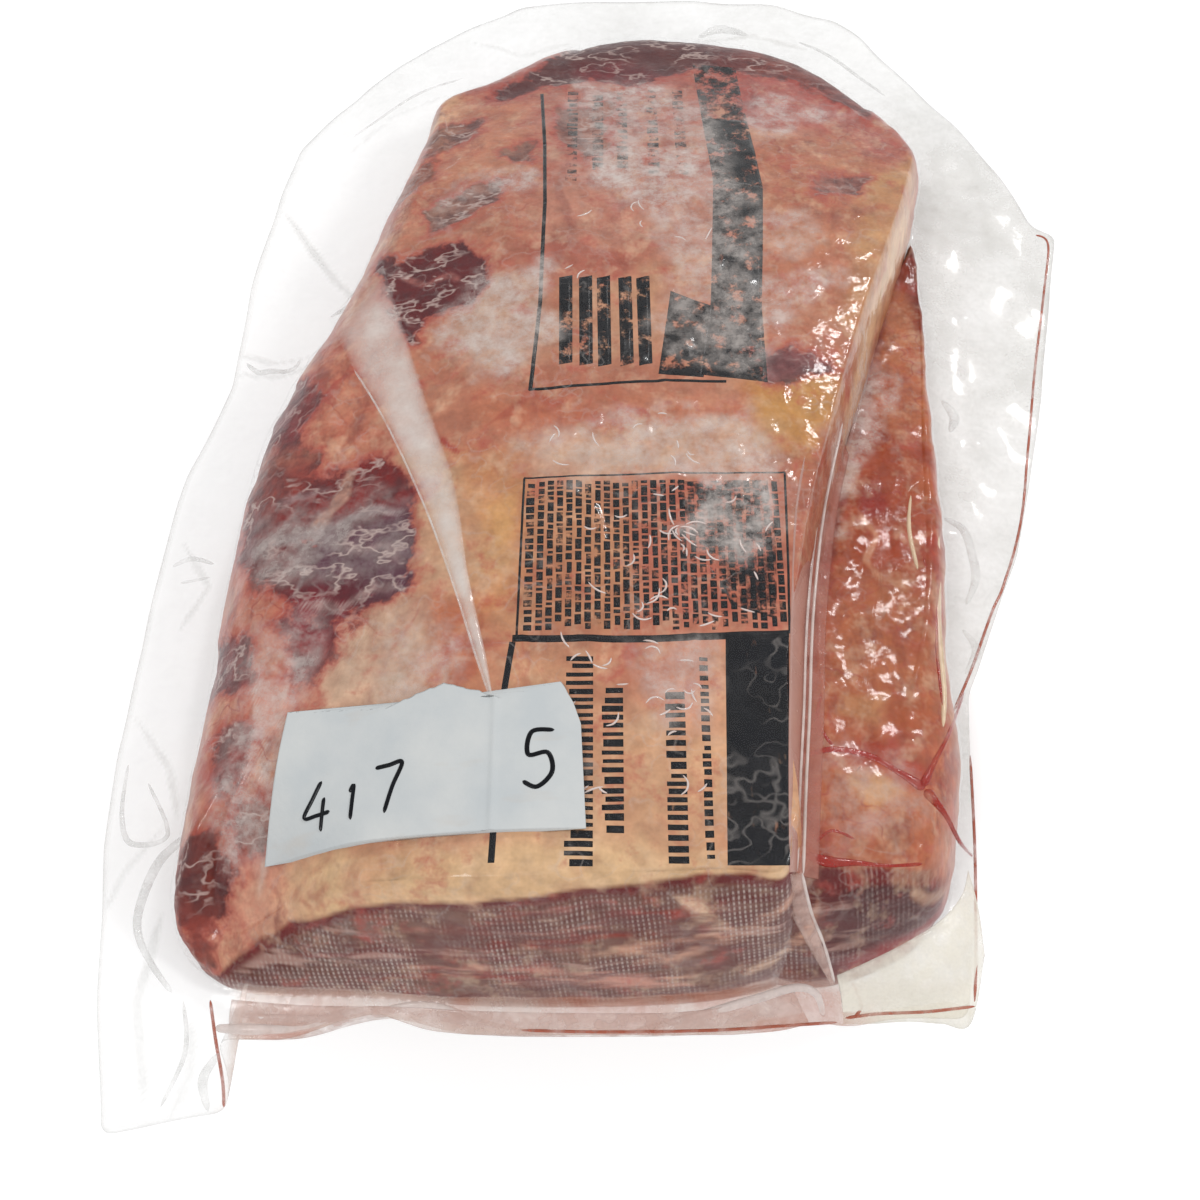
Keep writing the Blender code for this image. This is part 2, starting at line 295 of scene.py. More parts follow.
def off_segment(x, y, start, end):
    """Distance in plan to a straight segment, and how far along it the nearest point lies."""
    (ax, ay), (bx, by) = start, end
    share = ((x - ax) * (bx - ax) + (y - ay) * (by - ay)) / ((bx - ax) ** 2 + (by - ay) ** 2)
    share = np.clip(share, 0.0, 1.0)
    return np.hypot(x - ax - share * (bx - ax), y - ay - share * (by - ay)), share


def inside(x, y, outline):
    """Distance in plan to a closed outline, positive inside it."""
    corners = np.array(outline, float)
    nearest = np.full(x.shape, np.inf)
    crossings = np.zeros(x.shape, bool)
    for start, end in zip(corners, np.roll(corners, -1, axis=0)):
        nearest = np.minimum(nearest, off_segment(x, y, start, end)[0])
        (ax, ay), (bx, by) = start, end
        if ay != by:
            between = (ay > y) != (by > y)
            crossings ^= between & (x < (bx - ax) * (y - ay) / (by - ay) + ax)
    return np.where(crossings, nearest, -nearest)


def beside(x, y, path):
    """Distance in plan to an open path, and how far along the path the nearest point lies, from 0 to 1."""
    points = np.array(path, float)
    nearest = np.full(x.shape, np.inf)
    along = np.zeros(x.shape)
    for k, (start, end) in enumerate(zip(points[:-1], points[1:])):
        away, share = off_segment(x, y, start, end)
        along = np.where(away < nearest, (k + share) / (len(points) - 1), along)
        nearest = np.minimum(nearest, away)
    return nearest, along


def stain(x, y, outline, soft, ragged, seed):
    """0 outside an outline and 1 inside, blurred by soft, with its edge moved in and out by ragged noise."""
    edge = inside(x, y, outline) + ragged * ripple(x, y, 9, seed, 3)
    return smooth(-soft, soft, edge)


def streak(x, y, path, width, ragged, seed):
    """1 along a path of the given half width and 0 beyond, thinner towards its ends, with a ragged edge."""
    away, along = beside(x, y, path)
    taper = np.sqrt(np.clip(np.minimum(along, 1 - along) * 5, 0.0, 1.0))
    edge = width * taper - away + ragged * ripple(x, y, 5, seed, 2)
    return smooth(-0.4 * width, 0.6 * width, edge)


def tinted(colours, share, tint):
    """Colours drawn towards a tint by a share at each point."""
    return colours + (linear(tint) - colours) * share[..., None]


def stained(colours, x, y, fields, seed):
    """Colours with the tint of each field of a table on them, in turn."""
    for number, (tint, strength, soft, ragged, outline) in enumerate(fields):
        colours = tinted(colours, strength * stain(x, y, outline, soft, ragged, seed + number), tint)
    return colours


def streaked(colours, x, y, streaks, seed):
    """Colours with the tint of each streak of a table on them, in turn."""
    for number, (tint, strength, width, ragged, path) in enumerate(streaks):
        colours = tinted(colours, strength * streak(x, y, path, width, ragged, seed + number), tint)
    return colours


def layered(colours, layers):
    """Colours drawn in turn towards each layer's tint by its share."""
    for share, tint in layers:
        colours = tinted(colours, share, tint)
    return colours


# Tint, strength, softness and raggedness of each field of fat, then its outline.
CAP_FIELDS = (
    ((205, 150, 115), 0.7, 6, 5, ((-56, 111), (-34, 113), (-28, 68), (-41, 59), (-62, 51), (-73, 43),
     (-76, 72), (-68, 90))),
    ((196, 150, 128), 0.6, 9, 6, ((-30, 118), (30, 118), (30, 30), (-28, 30))),
    ((183, 112, 102), 0.8, 7, 6, ((30, 136), (54, 129), (76, 112), (75, 87), (62, 80), (44, 85),
     (31, 104))),
    ((200, 146, 110), 0.8, 6, 5, ((33, 91), (66, 93), (79, 73), (77, 54), (65, 31), (44, 21), (33, 38))),
    ((206, 166, 116), 0.9, 4, 3, ((66, 61), (84, 80), (87, 66), (70, 22), (60, -10), (53, 10), (62, 39))),
    ((192, 132, 102), 0.7, 5, 5, ((36, 27), (57, 26), (53, -6), (36, -6))),
    ((201, 157, 93), 0.95, 4, 3, ((27, -20), (52, -13), (49, -30), (44, -42), (40, -46), (28, -38))),
    ((196, 124, 92), 0.75, 5, 5, ((-44, -21), (-22, -26), (28, -23), (27, -33), (-1, -31), (-22, -36),
     (-42, -34))),
    ((214, 190, 160), 0.7, 6, 7, ((-30, -39), (-12, -33), (14, -31), (33, -35), (34, -50), (1, -50),
     (-27, -50))),
    ((206, 158, 108), 0.85, 6, 4, ((-54, -42), (-32, -42), (-31, -92), (-42, -92), (-49, -62))),
    ((222, 184, 120), 0.6, 4, 3, ((-40, -57), (-33, -60), (-33, -79), (-40, -77))),
    ((196, 150, 110), 0.8, 4, 3, ((-31, -52), (-3, -51), (-3, -95), (-32, -97))),
    ((192, 122, 98), 0.8, 5, 3, ((-2, -50), (36, -48), (35, -97), (-3, -96))),
    ((226, 184, 142), 0.9, 5, 3, ((4, -98), (34, -98), (35, -156), (3, -156))),
    ((206, 140, 112), 0.7, 6, 6, ((-8, -97), (17, -97), (14, -118), (-2, -122), (-24, -104))),
    ((222, 182, 140), 0.8, 5, 4, ((-34, -99), (-10, -101), (2, -124), (2, -156), (-38, -158))),
    ((226, 194, 148), 0.9, 3, 2, ((-88, -147), (-56, -148), (36, -150), (38, -160), (-10, -161),
     (-60, -162), (-84, -160))),
    ((209, 188, 160), 0.9, 7, 6, ((-80, -84), (-60, -84), (-50, -94), (-51, -112), (-61, -114),
     (-80, -114))),
    ((206, 176, 140), 0.8, 6, 6, ((-77, -44), (-50, -44), (-40, -74), (-46, -86), (-60, -80), (-58, -62),
     (-64, -46))),
    ((200, 128, 88), 0.8, 5, 5, ((-54, -82), (-42, -86), (-38, -112), (-49, -112), (-55, -96))),
    ((208, 148, 118), 0.7, 6, 5, ((-98, 0), (-80, 6), (-68, -20), (-63, -38), (-83, -40), (-98, -29))),
    ((200, 128, 112), 0.6, 7, 7, ((-104, -102), (-80, -88), (-78, -114), (-86, -116), (-86, -146),
     (-98, -148), (-108, -130))),
    ((224, 162, 136), 0.8, 6, 4, ((-100, -146), (-86, -145), (-80, -158), (-91, -162), (-101, -164))),
    ((196, 172, 148), 0.75, 6, 7, ((-43, 22), (-26, 24), (-27, -6), (-38, -16), (-52, -9), (-58, 2),
     (-48, 14))),
    ((206, 170, 134), 0.7, 5, 3, ((-24, 21), (4, 23), (8, -4), (-12, -12), (-27, -8))),
    ((178, 108, 92), 0.7, 3, 5, ((-46, 35), (-23, 37), (-4, 28), (0, 18), (-23, 22), (-42, 26))),
    ((228, 190, 150), 0.9, 3, 2, ((-75, 132), (-69, 142), (-58, 114), (-54, 100), (-60, 86), (-66, 92))),
)
# The same for the islands of lean and the dark places that the knife left.
CAP_LEAN = (
    ((92, 58, 60), 0.9, 3, 4, ((-48, 116), (-31, 136), (-12, 172), (6, 182), (26, 180), (36, 172),
     (33, 130), (21, 133), (8, 126), (-14, 125), (-29, 122), (-42, 113))),
    ((126, 48, 54), 0.8, 3, 3, ((-17, 132), (-5, 134), (8, 126), (1, 121), (-12, 124))),
    ((128, 68, 64), 0.8, 3, 4, ((31, 172), (60, 168), (73, 157), (84, 136), (74, 102), (62, 118),
     (48, 128), (29, 131))),
    ((124, 84, 84), 0.6, 2, 4, ((-42, 82), (-31, 87), (-32, 76), (-39, 74))),
    ((132, 90, 88), 0.65, 2, 5, ((-63, 52), (-50, 64), (-39, 67), (-41, 56), (-53, 47), (-62, 43))),
    ((150, 92, 78), 0.6, 3, 6, ((-26, 106), (-8, 110), (-10, 80), (-16, 74), (-25, 86))),
    ((150, 92, 92), 0.7, 2, 3, ((51, 66), (59, 69), (68, 65), (66, 57), (53, 57))),
    ((128, 78, 86), 0.85, 2, 3, ((30, -8), (42, -7), (53, -14), (42, -17), (33, -19))),
    ((108, 42, 48), 1.0, 1.5, 3, ((-76, 38), (-69, 30), (-60, 35), (-51, 36), (-43, 28), (-42, 20),
     (-47, 11), (-54, 11), (-60, 8), (-64, 0), (-69, 8), (-74, 22))),
    ((116, 48, 52), 0.95, 2, 8, ((-101, -40), (-82, -40), (-67, -38), (-60, -47), (-58, -64), (-59, -80),
     (-73, -87), (-86, -84), (-98, -74), (-108, -62), (-108, -45))),
    ((98, 66, 80), 0.9, 2.5, 6, ((-80, -55), (-62, -53), (-58, -69), (-60, -80), (-75, -82), (-84, -70))),
    ((136, 46, 44), 0.9, 2, 4, ((-98, -43), (-80, -42), (-65, -41), (-61, -51), (-76, -55), (-96, -52))),
    ((118, 42, 50), 0.9, 1.5, 4, ((-86, -79), (-75, -79), (-72, -87), (-81, -91), (-88, -85))),
    ((158, 84, 74), 0.6, 4, 7, ((-112, -4), (-94, -24), (-85, -38), (-97, -49), (-110, -40))),
    ((122, 52, 62), 0.85, 2.5, 5, ((-113, -84), (-100, -88), (-97, -101), (-101, -106), (-113, -100))),
    ((140, 84, 80), 0.65, 3, 6, ((-99, -129), (-89, -132), (-90, -142), (-99, -142))),
    ((116, 42, 46), 0.9, 2, 5, ((-114, -142), (-101, -138), (-97, -146), (-101, -156), (-108, -160),
     (-114, -154))),
    ((142, 62, 68), 0.85, 2, 4, ((-91, -87), (-83, -84), (-76, -92), (-78, -103), (-86, -106))),
    ((132, 54, 60), 0.9, 2, 4, ((-102, 2), (-92, -4), (-88, -16), (-94, -28), (-104, -22))),
    ((150, 76, 78), 0.8, 2, 4, ((-104, -112), (-96, -112), (-94, -124), (-100, -130), (-106, -122))),
    ((150, 84, 80), 0.7, 2, 5, ((-66, 84), (-52, 92), (-48, 104), (-58, 104), (-68, 94))),
    ((146, 72, 66), 0.7, 2, 5, ((-74, 62), (-62, 70), (-64, 80), (-74, 74))),
    ((156, 76, 66), 0.8, 2.5, 4, ((-116, -157), (-105, -159), (-103, -168), (-110, -171), (-116, -164))),
)
# Tint, strength, half width, raggedness and path of each vein and membrane; the last is a painted highlight
# along the cap's right edge.
CAP_VEINS_AND_EDGE_HIGHLIGHT = (
    ((206, 190, 176), 0.7, 0.9, 1.0, ((-100, -46), (-88, -50), (-80, -56), (-70, -54), (-60, -58))),
    ((206, 190, 176), 0.7, 0.8, 1.0, ((-106, -60), (-94, -62), (-84, -66), (-76, -72), (-62, -70))),
    ((214, 188, 172), 0.65, 0.8, 1.0, ((-84, -40), (-80, -52), (-84, -66), (-78, -78))),
    ((206, 190, 176), 0.6, 0.8, 1.0, ((-98, -72), (-88, -76), (-78, -76), (-68, -80), (-58, -76))),
    ((218, 196, 180), 0.6, 0.8, 0.8, ((-100, -88), (-95, -108), (-91, -124), (-89, -140), (-92, -152))),
    ((218, 196, 180), 0.5, 0.6, 0.8, ((-85, -92), (-88, -108), (-87, -126), (-94, -144))),
    ((176, 70, 62), 0.6, 0.8, 0.8, ((-108, -36), (-92, -26), (-84, -12), (-76, -6))),
    ((176, 76, 66), 0.5, 0.7, 0.8, ((-104, -20), (-94, -30), (-88, -42))),
    ((168, 84, 70), 0.5, 1.4, 1.5, ((-42, -33), (-34, -27), (-30, -22), (-24, -26), (-14, -24))),
    ((160, 44, 50), 0.8, 1.0, 0.8, ((-54, -34), (-51, -38), (-48, -41))),
    ((150, 96, 84), 0.45, 1.2, 1.5, ((-24, 96), (-21, 74), (-24, 58), (-20, 40))),
    ((150, 96, 84), 0.45, 1.2, 1.5, ((-6, 108), (-8, 88), (-4, 66), (-6, 46))),
    ((156, 92, 84), 0.4, 1.2, 1.5, ((8, 100), (10, 74), (4, 54), (12, 36))),
    ((172, 104, 86), 0.45, 1.6, 1.5, ((36, 60), (46, 50), (60, 44), (70, 52))),
    # Painted highlight: a cream line along the cap's right edge, where it bends down to the crevice.
    ((232, 206, 160), 0.8, 1.3, 0.6, ((86, 74), (78, 50), (68, 20), (58, -14), (50, -46), (42, -80),
     (36, -120), (35, -150))),
)
# The same for the fat and silver skin that cross the islands of lean.
LEAN_VEINS = (
    ((196, 150, 132), 0.9, 1.6, 1.4, ((-77, -36), (-78, -48), (-82, -56), (-87, -62))),
    ((176, 160, 158), 0.85, 1.3, 1.2, ((-104, -62), (-92, -62), (-82, -60), (-70, -55), (-62, -57))),
    ((176, 160, 158), 0.7, 1.0, 1.0, ((-88, -80), (-86, -72), (-88, -62))),
    ((186, 156, 150), 0.8, 1.1, 1.2, ((-86, -82), (-76, -84), (-68, -79), (-60, -80))),
    ((180, 150, 148), 0.7, 1.0, 1.0, ((-80, -64), (-72, -68), (-66, -66), (-62, -72))),
    ((170, 144, 144), 0.6, 1.0, 1.2, ((-98, -50), (-88, -48), (-80, -46))),
    ((178, 112, 104), 0.7, 1.0, 1.0, ((-70, 28), (-62, 22), (-54, 24), (-48, 18))),
)
# Upper edge of the lean on the cut face: x and z.
CUT_EDGE = (
    (-110, 0), (-102, 6.6), (-96, 12.6), (-89, 17.8), (-83, 22.6), (-68, 30.5), (-56, 33.6), (-45, 35.7),
    (-34, 37.8), (-23, 39.1), (-12, 39.9), (0, 41.0), (10, 41.6), (21, 42.0), (30, 40.6), (38, 35.5),
    (48, 34.0), (57, 31.5), (64, 28.0), (70, 21.0), (76, 9.0), (80, 5.0),
)
# Tint, strength, half width, raggedness and path (x, z) of each streak on the cut face.
CUT_STREAKS = (
    ((208, 164, 140), 0.85, 1.7, 1.2, ((-4, 18), (8, 20), (20, 25), (31, 33), (38, 36))),
    ((218, 186, 156), 0.9, 1.8, 1.0, ((4, 38), (10, 34), (14, 29), (20, 26))),
    ((112, 46, 46), 0.9, 1.0, 0.6, ((4, 42), (16, 40), (28, 39), (34, 36))),
    ((104, 44, 46), 0.7, 1.2, 0.8, ((14, 36), (20, 35.5), (28, 36))),
    ((184, 128, 112), 0.7, 0.7, 0.8, ((-62, 24), (-50, 27), (-36, 28), (-22, 28), (-10, 30))),
    ((184, 124, 108), 0.6, 0.6, 0.8, ((-58, 20), (-42, 22), (-28, 24), (-14, 23))),
    ((196, 140, 122), 0.75, 1.0, 1.0, ((-58, 15), (-38, 17), (-21, 16), (-4, 13), (12, 12))),
    ((214, 160, 140), 0.8, 1.7, 1.0, ((-34, 11), (-20, 12), (-4, 11), (10, 9))),
    ((176, 112, 102), 0.6, 0.6, 0.8, ((-40, 33), (-24, 34), (-8, 36))),
    ((150, 74, 70), 0.6, 0.7, 0.6, ((-86, 14), (-70, 18), (-52, 20), (-30, 20))),
    ((90, 34, 40), 0.7, 2.5, 1.5, ((46, 24), (54, 20), (62, 18), (68, 14))),
    ((216, 190, 160), 0.6, 1.6, 1.0, ((60, 26), (66, 20), (72, 15))),
    ((150, 62, 50), 0.8, 0.8, 0.8, ((-70, 10), (-52, 13), (-36, 14), (-22, 12))),
    ((152, 58, 46), 0.8, 0.7, 0.8, ((-40, 24), (-26, 25), (-12, 27), (0, 26))),
    ((146, 56, 46), 0.8, 0.7, 0.8, ((-14, 32), (-2, 33), (8, 32), (16, 30))),
    ((208, 160, 134), 0.8, 1.2, 1.2, ((-16, 22), (-4, 22.5), (8, 24), (16, 26))),
    ((222, 190, 164), 0.8, 1.5, 1.0, ((22, 10), (30, 15), (36, 22), (38, 30))),
)
# First seed of each table's ragged edges, and the Y over which the fat ends at the cut face.
FIELD_SEED, LEAN_SEED, VEIN_SEED, LEAN_VEIN_SEED, CUT_SEED = 100, 140, 170, 190, 60
CUT_FACE_Y = (-147.0, -151.0)


def cut_below(x, z):
    """How far below the upper edge of the cut face's lean a point lies."""
    edge = np.array(CUT_EDGE, float)
    return np.interp(x, edge[:, 0], edge[:, 1]) - z + 0.5 * ripple(x, z, 6, 31)


def cut_share(x, y, z):
    """1 on the lean of the cut face, which faces -Y below the fat cap's near edge."""
    return smooth(-0.4, 0.9, cut_below(x, z)) * smooth(*CUT_FACE_Y, y)


def cut_paint(colours, x, y, z):
    """Paints the cut face: dark lean with a darker rim under the fat, and streaks of fat along the grain."""
    below = cut_below(x, z)
    lean = layered(np.broadcast_to(linear((126, 92, 80)), colours.shape), (
        (0.6 * smooth(-0.2, 0.6, ripple(x, z * 3, 16, 32, 3)), (104, 48, 42)),
        (0.45 * smooth(0.1, 0.7, ripple(x + 9, z * 2.2, 12, 33, 3)), (158, 132, 126)),
        (0.5 * smooth(-60.0, -90.0, x), (92, 48, 42)),
        (0.9 * smooth(26.0, 48.0, x), (86, 26, 28)),
        (0.5 * smooth(40.0, 60.0, x) * smooth(0.0, 0.6, ripple(x, z, 10, 35, 3)), (150, 58, 48)),
        (0.8 * smooth(38.0, 46.0, x) * smooth(4.0, 0.5, below), (196, 120, 96)),
        (0.8 * smooth(40.0, 50.0, x) * smooth(15.0, 11.0, z), (158, 44, 34)),
        (0.8 * smooth(9.0, 3.0, z), (142, 92, 84)),
        (0.9 * smooth(3.4, 1.6, below + 1.2 * ripple(x, z, 12, 34)), (110, 42, 42)),
    ))
    lean = streaked(lean, x, z, CUT_STREAKS, CUT_SEED)
    return colours + (lean - colours) * cut_share(x, y, z)[..., None]


def cap_paint(x, y, z):
    """Colours of the upper muscle: fat from cream near the cut to pink far away, fields, veins and lean on
    it, painted shade in the hollows between its lumps, and a painted highlight along its right edge."""
    near = smooth(-60.0, -140.0, y)
    bent_x, bent_y = x + 3.0 * ripple(x, y, 11, 25, 3), y + 3.0 * ripple(x, y, 11, 26, 3)
    colours = layered(np.broadcast_to(linear((190, 136, 108)), (*x.shape, 3)), (
        (near, (206, 160, 126)),
        (smooth(20.0, 110.0, y), (182, 118, 104)),
        (0.6 * smooth(-60.0, -95.0, x) * (1 - near), (192, 116, 100)),
    ))
    colours = stained(colours, bent_x, bent_y, CAP_FIELDS, FIELD_SEED)
    thread = ripple(bent_x, bent_y, 17, 23, 3) / 0.035
    capillaries = np.exp(-(thread**2)) * smooth(0.0, 0.5, ripple(x, y, 30, 24))
    colours = layered(colours, (
        (0.45 * smooth(0.05, 0.75, ripple(bent_x, bent_y, 21, 21, 3)), (166, 96, 76)),
        (0.35 * smooth(0.1, 0.7, ripple(bent_x, bent_y, 13, 22, 4)), (222, 192, 158)),
        # Painted shade: darker where the second set of lumps dips, in the hollows between them.
        (0.3 * smooth(0.0, 0.7, -ripple(x + 0.8 * z, y + z, 15, 12)), (158, 92, 74)),
        (0.22 * smooth(0.2, 0.6, ripple(bent_x, bent_y, 4, 27, 2)), (150, 88, 74)),
        (0.4 * capillaries, (160, 66, 58)),
    ))
    colours = streaked(colours, x, y, CAP_VEINS_AND_EDGE_HIGHLIGHT, VEIN_SEED)
    low_side = smooth(16.0, 5.0, z) * (1 - smooth(-140.0, -150.0, y))
    return cut_paint(tinted(colours, 0.5 * low_side, (158, 96, 80)), x, y, z)


def lean_field(x, y):
    """How far inside an island of lean a point lies: 0.5 on its edge, 1 well inside."""
    field = np.zeros(x.shape)
    for number, (_, _, soft, ragged, outline) in enumerate(CAP_LEAN):
        edge = inside(x, y, outline) + 0.4 * ragged * ripple(x, y, 9, LEAN_SEED + number, 3)
        field = np.maximum(field, smooth(-4.0 - soft, 4.0 + soft, edge))
    return field


def lean_paint(colours, x, y):
    """Colour of the lean nearest to each point; the material shows it inside the islands."""
    for tint, strength, _, _, outline in CAP_LEAN:
        colours = tinted(colours, strength * smooth(-8.0, 1.0, inside(x, y, outline)), tint)
    return streaked(colours, x, y, LEAN_VEINS, LEAN_VEIN_SEED)


def node(tree, kind, values=(), **settings):
    """A new shader node: settings are its own properties, and values go into its sockets, as links or
    numbers."""
    new = tree.nodes.new("ShaderNode" + kind)
    for name, value in settings.items():
        setattr(new, name, value)
    for socket, value in dict(values).items():
        if isinstance(value, bpy.types.NodeSocket):
            tree.links.new(value, new.inputs[socket])
        else:
            new.inputs[socket].default_value = value
    return new


def new_material(name):
    """An empty node material and its tree."""
    material = bpy.data.materials.new(name)
    material.use_nodes = True
    material.node_tree.nodes.clear()
    return material, material.node_tree


def surfaced(material, shader):
    """The material, with a shader node as its surface."""
    node(material.node_tree, "OutputMaterial", {"Surface": shader.outputs[0]})
    return material


def noise(tree, scale, detail=3.0, rough=0.55, stretch=(1, 1, 1)):
    """Noise on Object coordinates, scale in features per metre, stretched by the reciprocal of each
    factor."""
    place = node(tree, "TexCoord").outputs["Object"]
    place = node(tree, "Mapping", {"Vector": place, "Scale": stretch}).outputs[0]
    values = {"Vector": place, "Scale": scale, "Detail": detail, "Roughness": rough}
    return node(tree, "TexNoise", values).outputs[0]


def ranged(tree, value, low, high, to_low, to_high):
    """Value mapped from one range to another, without leaving it."""
    values = {0: value, 1: low, 2: high, 3: to_low, 4: to_high}
    return node(tree, "MapRange", values, clamp=True).outputs[0]


def blended(tree, share, first, second, mode="MIX"):
    """Two colours mixed by a share."""
    values = {0: share, 6: first, 7: second}
    return node(tree, "Mix", values, data_type="RGBA", blend_type=mode).outputs[2]


def rgba(tint):
    """A tint as a shader's colour."""
    return (*linear(tint), 1.0)


def dyed(tree, share, under, tint):
    """A colour drawn towards a tint by a share."""
    return blended(tree, share, under, rgba(tint))


def maths(tree, operation, *values):
    """Result of one Math node."""
    return node(tree, "Math", dict(enumerate(values)), operation=operation).outputs[0]


def times(tree, first, second):
    """Product of two values."""
    return maths(tree, "MULTIPLY", first, second)


def spots(tree, low, high, most, scale, *shape):
    """Soft spots of noise: 0 where it is below low, and most where it is above high."""
    return ranged(tree, noise(tree, scale, *shape), low, high, 0.0, most)


def threads(tree, scale, width, detail=3.0, stretch=(1, 1, 1)):
    """1 along the level lines of a noise, falling to 0 over a width of its value."""
    level = maths(tree, "SUBTRACT", noise(tree, scale, detail, 0.6, stretch), 0.5)
    return ranged(tree, maths(tree, "ABSOLUTE", level), 0.0, width, 1.0, 0.0)


def stored(tree, name, output="Fac"):
    """What the piece's vertices store under a name."""
    return node(tree, "Attribute", attribute_name=name).outputs[output]


def bumped(tree, height, strength, depth):
    """Normals of a bump map, its depth in metres."""
    return node(tree, "Bump", {"Height": height, "Strength": strength, "Distance": depth}).outputs[0]


def wave(tree, direction, scale):
    """Straight waves across one axis, from 0 to 1, turned a little."""
    place = node(tree, "TexCoord").outputs["Object"]
    turned = node(tree, "Mapping", {"Vector": place, "Rotation": (0, 0.12, 0)}).outputs[0]
    values = {"Vector": turned, "Scale": scale, "Distortion": 1.0, "Detail": 1}
    return node(tree, "TexWave", values, bands_direction=direction).outputs["Fac"]


def make_meat():
    """Wet raw meat. Fat is mottled, lobed and blushed red; lean shows inside ragged islands, with pale
    membranes on it; the cut face carries the weave that the film has printed on it."""
    material, tree = new_material("raw_meat")
    flesh, lean = stored(tree, "flesh", "Color"), stored(tree, "lean", "Color")
    island, blush, cut = (stored(tree, name) for name in ("island", "blush", "cut"))
    blushed = times(tree, spots(tree, 0.48, 0.66, 0.85, 62, 4, 0.75), blush)
    fat = dyed(tree, blushed, flesh, (158, 66, 52))
    blushed = times(tree, spots(tree, 0.53, 0.66, 0.65, 95, 4, 0.72, (1.0, 0.5, 1.0)), blush)
    fat = dyed(tree, blushed, fat, (114, 40, 42))
    fat = dyed(tree, spots(tree, 0.52, 0.68, 0.32, 130, 3, 0.7, (1.0, 0.8, 1.0)), fat, (224, 190, 158))
    veined = times(tree, threads(tree, 70, 0.016, 2), spots(tree, 0.48, 0.58, 0.7, 40, 1))
    fat = dyed(tree, times(tree, veined, blush), fat, (146, 48, 44))
    mottle = ranged(tree, noise(tree, 170, 3, 0.75), 0.3, 0.7, 0.8, 1.16)
    grey = node(tree, "CombineColor", {0: mottle, 1: mottle, 2: mottle}).outputs[0]
    fat = blended(tree, 1.0, fat, grey, "MULTIPLY")
    muscle = dyed(tree, spots(tree, 0.35, 0.65, 0.75, 150, 3, 0.7), lean, (66, 22, 28))
    membrane = times(tree, threads(tree, 105, 0.035, 3, (0.7, 1.2, 1.0)), spots(tree, 0.42, 0.6, 0.75, 60, 2))
    muscle = dyed(tree, membrane, muscle, (196, 172, 164))
    ragged = maths(tree, "ADD", noise(tree, 230, 3, 0.7), noise(tree, 85, 2))
    level = maths(tree, "MULTIPLY_ADD", ragged, 1.1, island)
    fat = dyed(tree, ranged(tree, level, 1.2, 1.58, 0.0, 0.8), fat, (168, 70, 60))
    colour = blended(tree, ranged(tree, level, 1.48, 1.72, 0.0, 1.0), fat, muscle)
    grained = times(tree, spots(tree, 0.46, 0.6, 0.7, 120, 3, 0.7, (0.35, 1.0, 1.8)), cut)
    colour = dyed(tree, grained, colour, (92, 34, 32))
    pale = times(tree, spots(tree, 0.56, 0.64, 0.5, 90, 3, 0.7, (0.3, 1.0, 1.8)), cut)
    colour = dyed(tree, pale, colour, (196, 156, 142))
    woven = ranged(tree, wave(tree, "X", 260), 0.45, 0.85, 0.0, 0.6)
    woven = times(tree, woven, ranged(tree, wave(tree, "Z", 240), 0.2, 0.7, 0.25, 1.0))
    woven = times(tree, times(tree, woven, spots(tree, 0.44, 0.6, 0.9, 48, 3, 0.65)), cut)
    colour = dyed(tree, woven, colour, (196, 182, 174))
    height = maths(tree, "ADD", noise(tree, 420, 1), times(tree, noise(tree, 130, 2), 2.2))
    return surfaced(material, node(tree, "BsdfPrincipled", {
        "Base Color": colour, "Roughness": 0.5, "Specular IOR Level": 0.25,
        "Normal": bumped(tree, height, 0.5, 0.0008),
    }))


raw_meat = make_meat()


def cap_relief(x, y, z):
    """How far the meat of the upper muscle stands out: its lumps, less the sunk islands of lean."""
    return cap_lumps(x, y, z) - 0.8 * smooth(0.45, 0.7, lean_field(x, y)) * (1 - cut_share(x, y, z))


CAP = (CAP_RIM, CAP_HEART, cap_top, 0.0)
_, cap_skin = skins(CAP, (96, 46, 6, 5), 636, 1.8, cap_relief)
upper_muscle = piece("upper_muscle", [surface(cap_skin)], raw_meat, replaced="brisket_pack")
cap_x, cap_y, cap_z = np.moveaxis(cap_skin, 2, 0)
cap_fat = cap_paint(cap_x, cap_y, cap_z)
cap_cut = cut_share(cap_x, cap_y, cap_z)
cap_pink = 0.6 + 0.4 * smooth(-150.0, -90.0, cap_y)
keep_colour(upper_muscle, "flesh", cap_fat * (1 - cap_pink[..., None] * np.array([0.03, 0.16, 0.14])))
keep_colour(upper_muscle, "lean", lean_paint(cap_fat, cap_x, cap_y))
keep_share(upper_muscle, "island", lean_field(cap_x, cap_y) * (1 - cap_cut))
keep_share(upper_muscle, "cut", cap_cut * smooth(1.2, 3.8, cut_below(cap_x, cap_z)))
cap_blush = 0.22 + 0.7 * smooth(-50.0, -95.0, cap_x) + 0.5 * smooth(10.0, 90.0, cap_y)
cap_blush = cap_blush - 0.2 * smooth(-100.0, -140.0, cap_y) * smooth(-90.0, -60.0, cap_x)
keep_share(upper_muscle, "blush", np.clip(cap_blush, 0.0, 1.0) * (1 - cap_cut))

